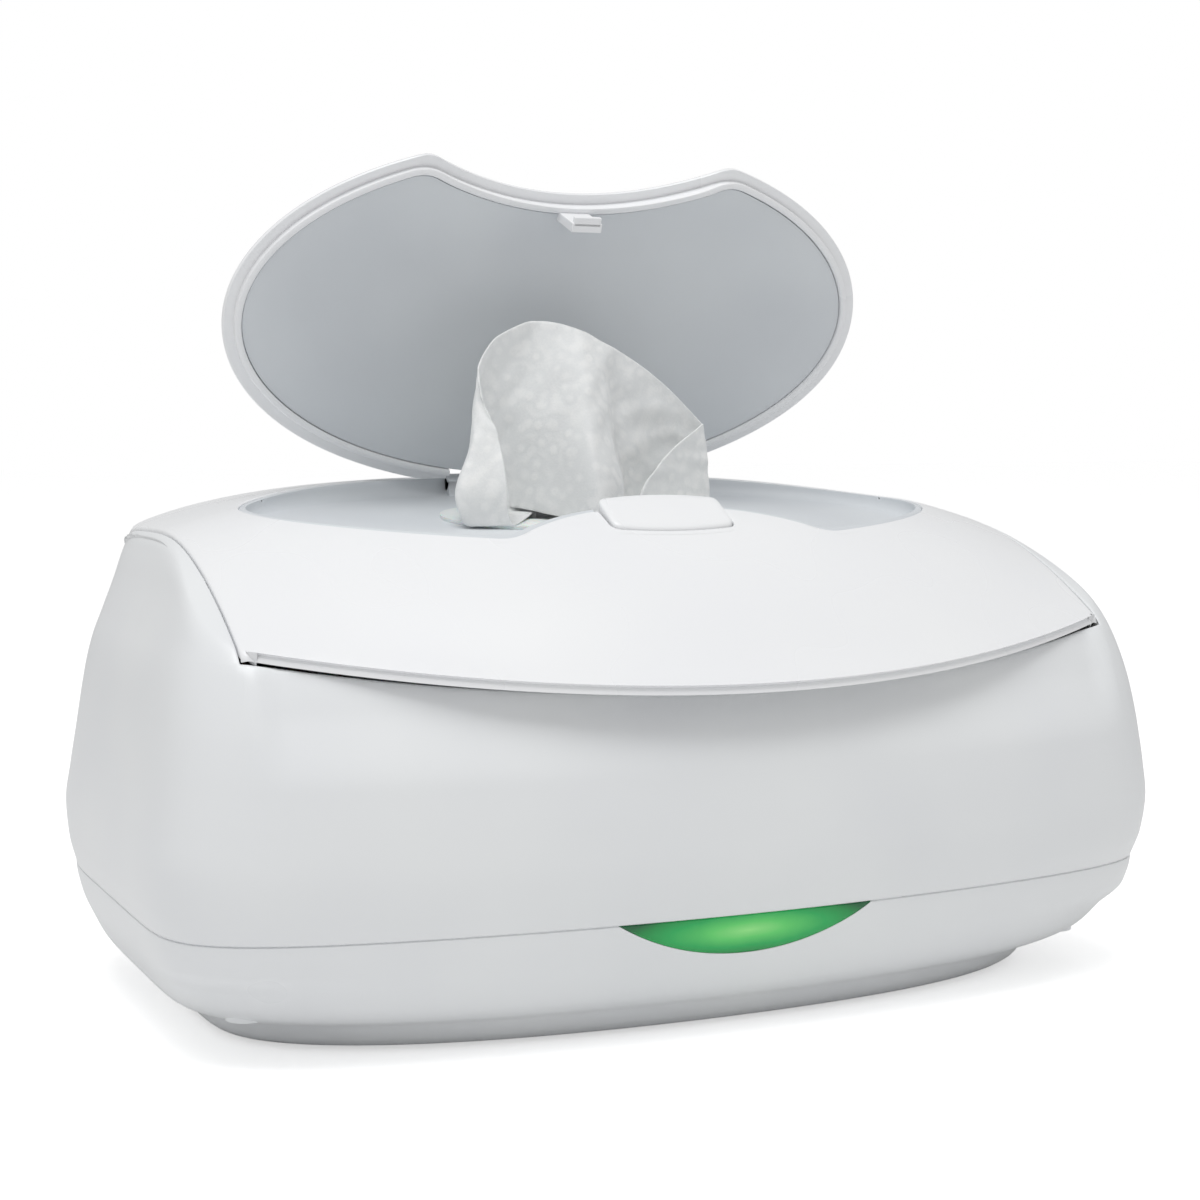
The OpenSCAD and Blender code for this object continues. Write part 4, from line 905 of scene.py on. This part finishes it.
down = row(bm, np.c_[inner_oval, np.full(len(inner_oval), chimney)])
for a, b in ((top_oval, up), (up, down), (down, low_oval)):
    strip(bm, a, b)
bmesh.ops.remove_doubles(bm, verts=bm.verts, dist=2e-6)
piece("liner_tray", bm, "lid", "tub_plastic", ["lid_liner"])

# %% [markdown]
# ## The moisture pad
# A soft foam cushion in a thin cover lies in the tub and gives its water to the wipes. It
# starts as a slightly small block with pulled-in sides. Blender's cloth, with a little air
# pressure inside and no gravity, swells it, and the move of each point is limited.

# %% Pad
pad_low, pad_high = (1000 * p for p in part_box("moisture_pad"))
PAD_W, PAD_D, PAD_H = pad_high.x, (pad_high.y - pad_low.y) / 2, pad_high.z - pad_low.z
SWELL = 4.0
PAD_ROWS = [(0, 8), (0.04, 5), (0.2, 2.2), (0.45, 1.6), (0.68, 3), (0.84, 7), (0.93, 15),
            (0.97, 30)]
rings = []
for height, inset in PAD_ROWS:
    w, d = PAD_W - inset, PAD_D - inset
    ring = plan_ring(w, d, d, 6, 6, 4, 4, 160)
    rings.append(np.c_[ring, np.full(160, pad_low.z + 0.3 + height * PAD_H * 0.86)])
bm = bmesh.new()
solid(bm, rings)
pad = piece("soaked_pad", bm, "housing", "foam_pad", ["moisture_pad"])
m = pad.modifiers.new("even", "REMESH")
m.mode, m.voxel_size = "VOXEL", 0.004
bake(pad)
before = np.array([v.co for v in pad.data.vertices])
m = pad.modifiers.new("swell", "CLOTH")
m.settings.use_pressure = True
m.settings.uniform_pressure_force = 4
m.settings.effector_weights.gravity = 0
m.settings.quality = 6
for step in range(1, 21):
    bpy.context.scene.frame_set(step)
bake(pad)
bpy.context.scene.frame_set(1)
after = np.array([v.co for v in pad.data.vertices])
move = after - before
far = np.linalg.norm(move, axis=1)
move *= np.minimum(1, SWELL / 1000 / np.maximum(far, 1e-9))[:, None]
after = before + move
bottom, top = pad_low.z / 1000, pad_high.z / 1000
after[:, 2] = np.clip(after[:, 2], bottom, top + 0.001)
QUILT_X, QUILT_Y, DIMPLE = 0.038, 0.032, 0.0011
tufts = np.cos(after[:, 0] * 2 * math.pi / QUILT_X) * np.cos(after[:, 1] * 2 * math.pi / QUILT_Y)
after[:, 2] -= np.where(after[:, 2] > bottom + 0.006, DIMPLE * tufts**8, 0)
for v, co in zip(pad.data.vertices, after):
    v.co = co
print("Pad swelled by up to", round(1000 * far.max(), 1), "mm")
m = pad.modifiers.new("smooth", "SUBSURF")
m.levels = m.render_levels = 1
pad.data.shade_smooth()

# %% [markdown]
# ## The wipe
# The top wipe of a folded stack is pulled up through the soft lips of the dispenser. It is
# one sheet. Its two free edges fold round to the front, so it stands like an open letter C
# with a bulge in its middle. The table follows the cloth from the left edge to the right
# one. Each line goes up: out of the lips, spread on the floor, then to the top.

# %% Wipe
LINES = np.array([
    -20, 5, 140.6, -34, -13, 137.6, -36, -13, 145, -36, -7, 161, -37.5, -3, 169, -39.5, 0, 175,
    -24, 7, 140.6, -46.5, -9, 137.6, -49.8, -8, 145.4, -43.5, -4, 160, -40, 2, 172, -38.2, 4, 183,
    -23, 10, 140.8, -38, 4, 141, -40, 7, 148, -37, 10, 163, -34, 11, 180, -29.5, 10, 193.5,
    -16, 11, 140.8, -27, 9, 142, -28, 12, 150, -26, 13, 166, -22, 13, 183, -17, 12, 197.8,
    -9, 8, 140.6, -17, -6, 139.5, -17.5, -2, 149, -17, 3, 166, -14, 7, 183, -10, 10, 197.5,
    -2, 5, 140.6, -8, -20, 138, -8, -17, 148, -7, -8, 166, -5, 0, 182, -2, 7, 195,
    3, 6, 140.6, 2, -13, 138.5, 2, -11, 148, 1, -4, 164, 1.5, 2, 180, 4, 7, 191.5,
    9, 10, 140.8, 10, 2, 141, 10, 4, 149, 9, 6, 162, 10, 8, 176, 13, 8, 187,
    16, 11, 140.8, 24, 8, 141.5, 25, 9, 149, 25, 9, 160, 24.5, 8, 171, 25, 7, 179,
    23, 8, 140.6, 36, 2, 139.5, 38, 4, 146, 37.6, 4, 154, 37, 4, 161, 36, 4, 167,
    19, 5, 140.6, 6, -9, 138, 9.5, -8, 146.5, 15, -6, 153, 23, -4, 160, 35, 2, 166.5,
], float).reshape(11, 6, 3)
ACROSS = np.array([0, 0.1, 0.2, 0.33, 0.44, 0.53, 0.62, 0.72, 0.82, 0.91, 1])
UP = np.array([0, 0.13, 0.27, 0.52, 0.78, 1])
TAIL = -0.2  # each line starts this far below the lips, where the gasket grips the cloth
u = np.linspace(0, 1, 300)
lines = np.concatenate([LINES[:, :1] * (0.93, 1, 1) + (0, 0, -14.5), LINES], axis=1)
rising = np.r_[TAIL, UP]
levels = np.r_[np.linspace(TAIL, 0, 10)[:-1], np.linspace(0, 0.3, 34)[:-1], np.linspace(0.3, 1, 66)]
columns = [np.stack([curve(rising, line[:, k])(levels) for k in range(3)], axis=1)
           for line in lines]
sheet_rows = []
for j, h in enumerate(levels):
    p = np.stack([curve(ACROSS, [c[j, k] for c in columns])(u) for k in range(3)], axis=1)
    free = min(1, max(0, h) / 0.2)
    p[:, 1] += free * (0.4 * np.sin(17 * u + 7 * h) * np.sin(11 * h + 5 * u)
                       + 0.2 * np.sin(53 * u - 13 * h + 4 * np.sin(5 * h)))
    p[:, 2] += free * 0.35 * h * np.sin(19 * u + 1)
    sheet_rows.append(p)
bm = bmesh.new()
skin(bm, sheet_rows, closed=False)
WIPE_AREA = sum(f.calc_area() for f in bm.faces)
wipe = piece("pulled_wipe", bm, "lid", "nonwoven", ["wipe"], closed=False, heart=(0, 60, 150),
             sharp=180)
thicken(wipe, 0.45)
print("Wipe above the lips:", round(1e4 * WIPE_AREA), "cm2 of cloth")
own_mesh(wipe)

# %% [markdown]
# ## Materials
# Each finish starts from what the real one is. Patterns are set in millimetres on Object
# coordinates, so they keep their size on every piece. Colours are written as sRGB hex.

# %% Material helpers
def linear(hex_colour):
    """An sRGB hex colour as the linear values that a shader needs."""
    levels = [int(hex_colour[i:i + 2], 16) / 255 for i in (1, 3, 5)]
    return *(c / 12.92 if c <= 0.04045 else ((c + 0.055) / 1.055) ** 2.4 for c in levels), 1.0


def per_mm(size):
    """The scale of a pattern whose marks are this many millimetres apart."""
    return 1000 / size


def feed(tree, node, inputs):
    """Fills a node's inputs: a value is set, another node's output is linked."""
    for name, value in inputs.items():
        if isinstance(value, bpy.types.NodeSocket):
            tree.links.new(value, node.inputs[name])
        else:
            node.inputs[name].default_value = value


def add(tree, kind, output=None, inputs=None, **settings):
    """Adds a node with its settings and returns one of its outputs, or the node itself."""
    node = tree.nodes.new("ShaderNode" + kind)
    for name, value in settings.items():
        setattr(node, name, value)
    feed(tree, node, inputs or {})
    return node.outputs[output] if output else node


def noise(tree, place, size, **more):
    """Noise with marks of a size in mm."""
    inputs = {"Vector": place, "Scale": per_mm(size), **more}
    return add(tree, "TexNoise", "Fac", inputs)


def scaled(tree, value, low, high, **more):
    """A value from 0 to 1, stretched to lie between two others."""
    return add(tree, "MapRange", "Result", {"Value": value, "To Min": low, "To Max": high, **more})


def ramp(tree, factor, first, last, *between):
    """A colour from a ramp with stops of (place, colour)."""
    node = add(tree, "ValToRGB", inputs={"Fac": factor})
    stops = node.color_ramp.elements
    for stop, (at, colour) in zip(stops, (first, last)):
        stop.position, stop.color = at, linear(colour)
    for at, colour in between:
        stops.new(at).color = linear(colour)
    return node.outputs["Color"]


def bump(tree, height, strength, deep):
    """A bumped normal; the bumps are deep millimetres high."""
    inputs = {"Height": height, "Strength": strength, "Distance": deep / 1000}
    return add(tree, "Bump", "Normal", inputs)


def maths(tree, operation, *values):
    inputs = dict(enumerate(values))
    return add(tree, "Math", "Value", inputs, operation=operation)


FINISH = {}


def start(slot, name, **shader):
    """A material for a slot with its shader's plain values: (tree, shader, object coordinates)."""
    FINISH[slot] = material = bpy.data.materials.new(name)
    material.use_nodes = True
    tree = material.node_tree
    bsdf = tree.nodes["Principled BSDF"]
    for key, value in shader.items():
        bsdf.inputs[key.replace("_", " ").title().replace("Ior", "IOR")].default_value = value
    return tree, bsdf, add(tree, "TexCoord", "Object")


def moulded(slot, name, light, dark, gloss, drift=45, grain=0.7, strength=0.15, deep=0.05,
            **shader):
    """A moulded or cast finish: its colour and gloss drift, and its skin has a fine grain."""
    tree, bsdf, place = start(slot, name, **shader)
    clouds = noise(tree, place, drift, Detail=1, Roughness=0.4)
    feed(tree, bsdf, {
        "Base Color": ramp(tree, clouds, (0.3, dark), (0.7, light)),
        "Roughness": scaled(tree, clouds, *gloss),
        "Normal": bump(tree, noise(tree, place, grain, Detail=2), strength, deep),
    })
    return tree, bsdf, place


# %% Plastics
# Glossy white ABS, injection moulded and polished: soft wide reflections, faint cool drift.
moulded("white_shell", "moulded white ABS, body", "#edeff0", "#e9ebed", (0.26, 0.34), ior=1.5)
# The lid and the flap are the same ABS in a slightly warmer, brighter white.
moulded("lid_white", "moulded white ABS, lid", "#f3f4f5", "#f1f2f4", (0.24, 0.31), ior=1.5)
# Light grey polypropylene with a fine spark-eroded texture, so it looks matt. Its grey is partly
# the plastic's own colour and partly painted shade: it is set a little darker than the plastic so
# the recess and the flap's lining keep a shaded look.
moulded("cool_grey", "moulded grey polypropylene", "#dce0e3", "#d3d7db", (0.42, 0.55),
        grain=0.9, strength=0.3, ior=1.49)
# Natural polypropylene of the tub: whiter, waxy and a little see-through at its edges.
moulded("tub_plastic", "moulded natural polypropylene", "#f0f1ee", "#e6e8e4", (0.34, 0.46),
        ior=1.49, subsurface_weight=0.15, subsurface_scale=0.003)
# Black glass-filled nylon of the thermostat's cap and the inlet socket.
moulded("black_plastic", "moulded black nylon", "#1d1e20", "#141517", (0.4, 0.55),
        drift=6, grain=0.4, strength=0.4, ior=1.53)
# Clear polycarbonate of the light guide, with a slight milky scatter.
moulded("guide_clear", "moulded clear polycarbonate", "#e9f1ec", "#dfe9e3", (0.08, 0.16),
        drift=8, ior=1.58, transmission_weight=0.7)
# Water-clear epoxy of the lamps, cast round their chips.
moulded("led_clear", "cast clear epoxy", "#dff2e2", "#cfe8d4", (0.05, 0.12),
        drift=3, ior=1.54, transmission_weight=0.6)

# %% Rubber, foam and felt
# Cast silicone: milky white and satin, it lets a little light in.
moulded("silicone", "cast silicone", "#eceeec", "#e0e3e1", (0.38, 0.5),
        drift=12, grain=0.5, strength=0.3, ior=1.41, subsurface_weight=0.25, subsurface_scale=0.004)
# Closed-cell foam of the lid's seal: matt, with cells of about 0.6 mm, drawn at 0.9 mm to show.
moulded("foam_seal", "closed-cell foam", "#dcdfe0", "#cbd0d2", (0.8, 0.95),
        drift=4, grain=0.9, strength=0.8, deep=0.2)
# Moulded rubber feet: dark and matt with dust in the grain.
moulded("foot_rubber", "moulded rubber", "#3c3f42", "#2c2e31", (0.7, 0.85),
        drift=5, grain=0.5, strength=0.5)
# Needled felt round the heater: fibres lie every way.
moulded("felt", "needled felt", "#e5e1d6", "#cfcabd", (0.9, 1.0),
        drift=2.2, grain=0.8, strength=0.9, deep=0.4, sheen_weight=0.3)

# %% Metals and electrical parts
# Nickel-plated steel pins, springs and screws: bright, with a fine grain.
moulded("bright_metal", "nickel-plated steel", "#c9c7c2", "#b4b2ae", (0.18, 0.3),
        drift=4, grain=0.3, strength=0.2, metallic=1.0)
# Rolled aluminium sheet: the mill's lines run along it, so the noise is stretched on X.
tree, bsdf, place = moulded("aluminium", "rolled aluminium", "#d3d5d8", "#bfc2c6", (0.3, 0.42),
                            drift=25, metallic=1.0)
drawn = add(tree, "Mapping", "Vector", {"Vector": place, "Scale": (0.04, 1, 1)})
feed(tree, bsdf, {"Normal": bump(tree, noise(tree, drawn, 0.6, Detail=2), 0.3, 0.05)})
# Polyimide film over an etched heater track: amber, with the track showing every 6 mm.
tree, bsdf, place = moulded("polyimide", "polyimide film", "#b4671c", "#a85c14", (0.22, 0.35),
                            drift=10)
track = add(tree, "TexWave", "Fac", {"Vector": place, "Scale": per_mm(6) / 20, "Distortion": 0},
            bands_direction="Y")
feed(tree, bsdf, {"Base Color": ramp(tree, track, (0.45, "#b8691b"), (0.55, "#7d3f0c"))})
# Solder mask on glass-epoxy board: green lacquer with darker copper fields under it.
moulded("circuit_board", "solder mask on glass epoxy", "#1f6b3c", "#174f2d", (0.25, 0.4),
        drift=5, grain=0.6, strength=0.4)
# PVC wire insulation, extruded: smooth and a little waxy.
moulded("wire", "extruded PVC", "#e2e3e2", "#cfd1d0", (0.35, 0.5),
        drift=6, grain=0.4, strength=0.2)

# %% [markdown]
# ## The lit lens
# The lens is green polycarbonate with a lamp behind its middle. The glow is brightest at the
# centre and falls to dark green at the tips and the lower edge, so both follow the lens's own
# shape: the distance from its middle is measured on Object coordinates.

# %% Lens
LENS_MID = (0.0, base_ring(31)[:, 1].min() / 1000, 0.0315)
LENS_SPREAD = (26, 0, 135)  # per metre: the glow is wide along the lens and low across it
tree, bsdf, place = start("lens_green", "moulded green polycarbonate, lit", roughness=0.22,
                          ior=1.58)
near = add(tree, "Mapping", "Vector", {"Vector": place, "Location": [-c for c in LENS_MID]})
shape = add(tree, "Mapping", "Vector", {"Vector": near, "Scale": LENS_SPREAD})
reach = add(tree, "VectorMath", "Value", {0: shape}, operation="LENGTH")
mottle = scaled(tree, noise(tree, place, 9, Detail=2), -0.07, 0.07)
glow = ramp(tree, maths(tree, "ADD", reach, mottle), (0.0, "#86d47c"), (1.0, "#04542c"),
            (0.3, "#55c060"), (0.62, "#139c4c"), (0.85, "#05803a"))
feed(tree, bsdf, {"Base Color": glow, "Emission Color": glow, "Emission Strength": 0.22})

# %% [markdown]
# ## Nonwoven and foam
# A wipe is spunlaced viscose and polyester: fibres tangled by water jets, then embossed with
# soft curls. It has no thread. Wet and thin, it lets some light through.

# %% Wipe and pad
tree, bsdf, place = start("nonwoven", "spunlaced nonwoven, embossed", ior=1.4,
                          subsurface_weight=0.35, subsurface_scale=0.004, sheen_weight=0.15)
curls = add(tree, "TexVoronoi", "Distance", {"Vector": place, "Scale": per_mm(4.5)},
            feature="SMOOTH_F1")
soft = maths(tree, "MULTIPLY", maths(tree, "SINE", maths(tree, "MULTIPLY", curls, 11.0)), 0.3)
fibres = noise(tree, place, 0.8, Detail=4, Roughness=0.7)
wads = noise(tree, place, 14, Detail=3)
relief = maths(tree, "MULTIPLY_ADD", fibres, 1.1, soft)
# The wipe's colour follows the relief. It is darker in the hollows of the embossed curls, which is
# painted shade. The fibre grain and the wads are the cloth's own uneven tone.
thin = add(tree, "MapRange", "Result", {"Value": relief, "From Min": 0, "From Max": 1.1})
cloth = ramp(tree, maths(tree, "MULTIPLY", thin, wads), (0.1, "#e9ebeb"), (0.45, "#f6f7f6"))
feed(tree, bsdf, {
    "Base Color": cloth,
    "Roughness": scaled(tree, wads, 0.5, 0.8),
    "Normal": bump(tree, relief, 0.45, 0.2),
    "Subsurface Radius": (1.0, 1.0, 1.0),
})
# The pad is open-cell foam in a knitted cover: pale green, soft, with a mesh of 2.5 mm.
tree, bsdf, place = moulded("foam_pad", "covered open-cell foam", "#cfe6c9", "#b9d6b3",
                            (0.85, 0.98), drift=12, sheen_weight=0.2)
cells = add(tree, "TexVoronoi", "Distance", {"Vector": place, "Scale": per_mm(2.5)},
            feature="DISTANCE_TO_EDGE")
feed(tree, bsdf, {"Normal": bump(tree, cells, 0.6, 0.4)})

# %% Give every piece its finish
for obj in bpy.data.objects:
    slots = [s for s in obj.material_slots if s.material and s.material.name in FINISH]
    for s in slots:
        s.material = FINISH[s.material.name]
    if "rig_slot" in obj:
        obj.data.materials.clear()
        obj.data.materials.append(FINISH[obj["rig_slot"]])
print("Finishes:", len(FINISH))

# %% [markdown]
# ## Camera, light and floor
# The camera stands where the photograph was taken: low, in front and to the left.

# %% Camera
scene = bpy.context.scene
camera = show("camera", bpy.data.cameras.new("camera"))
camera.location = (-0.284, -0.628, 0.170)
camera.rotation_euler = (math.pi / 2 - 0.082, 0.0, -0.424)
camera.data.sensor_width = 36.0
FOCAL_PX, PHOTO_PX = 2266, 1200
camera.data.lens = camera.data.sensor_width * FOCAL_PX / PHOTO_PX
camera.data.clip_start = 0.01
scene.camera = camera

# %% [markdown]
# The photograph is a studio shot on pure white, with a large soft light overhead. The world
# and the floor look white to the camera through Light Path, and light the piece less.

# %% World, light and floor
scene.view_settings.view_transform = "Standard"
world = bpy.data.worlds.new("studio")
scene.world = world
world.use_nodes = True
tree = world.node_tree
WORLD_LIGHT, WORLD_SEEN = 0.53, 1.0
rays = add(tree, "LightPath").outputs
seen = maths(tree, "MAXIMUM", rays["Is Camera Ray"], rays["Is Transmission Ray"])
feed(tree, tree.nodes["Background"], {
    "Color": (1, 1, 1, 1),
    "Strength": scaled(tree, seen, WORLD_LIGHT, WORLD_SEEN),
})

light = bpy.data.lights.new("softbox", "AREA")
light.energy, light.size = 11.5, 0.9
softbox = show("softbox", light)
softbox.location = (-0.3, -0.4, 1.5)
aim = Vector((0, 0, 0.1)) - softbox.location
softbox.rotation_euler = aim.to_track_quat("-Z", "Y").to_euler()

FLOOR_LIFT, FLOOR_SIZE = 0.5, 6.0
tree, bsdf, place = start("sweep", "white paper sweep", roughness=0.9)
grain = noise(tree, place, 4, Detail=2)
feed(tree, bsdf, {
    "Base Color": ramp(tree, grain, (0.0, "#f4f4f4"), (1.0, "#fafafa")),
    "Emission Color": (1, 1, 1, 1),
    "Emission Strength": maths(tree, "MULTIPLY",
                               add(tree, "LightPath", "Is Camera Ray"), FLOOR_LIFT),
})
bm = bmesh.new()
bmesh.ops.create_grid(bm, x_segments=1, y_segments=1, size=FLOOR_SIZE)
sweep = show("sweep", mesh_of("sweep", bm))
sweep.data.materials.append(FINISH["sweep"])
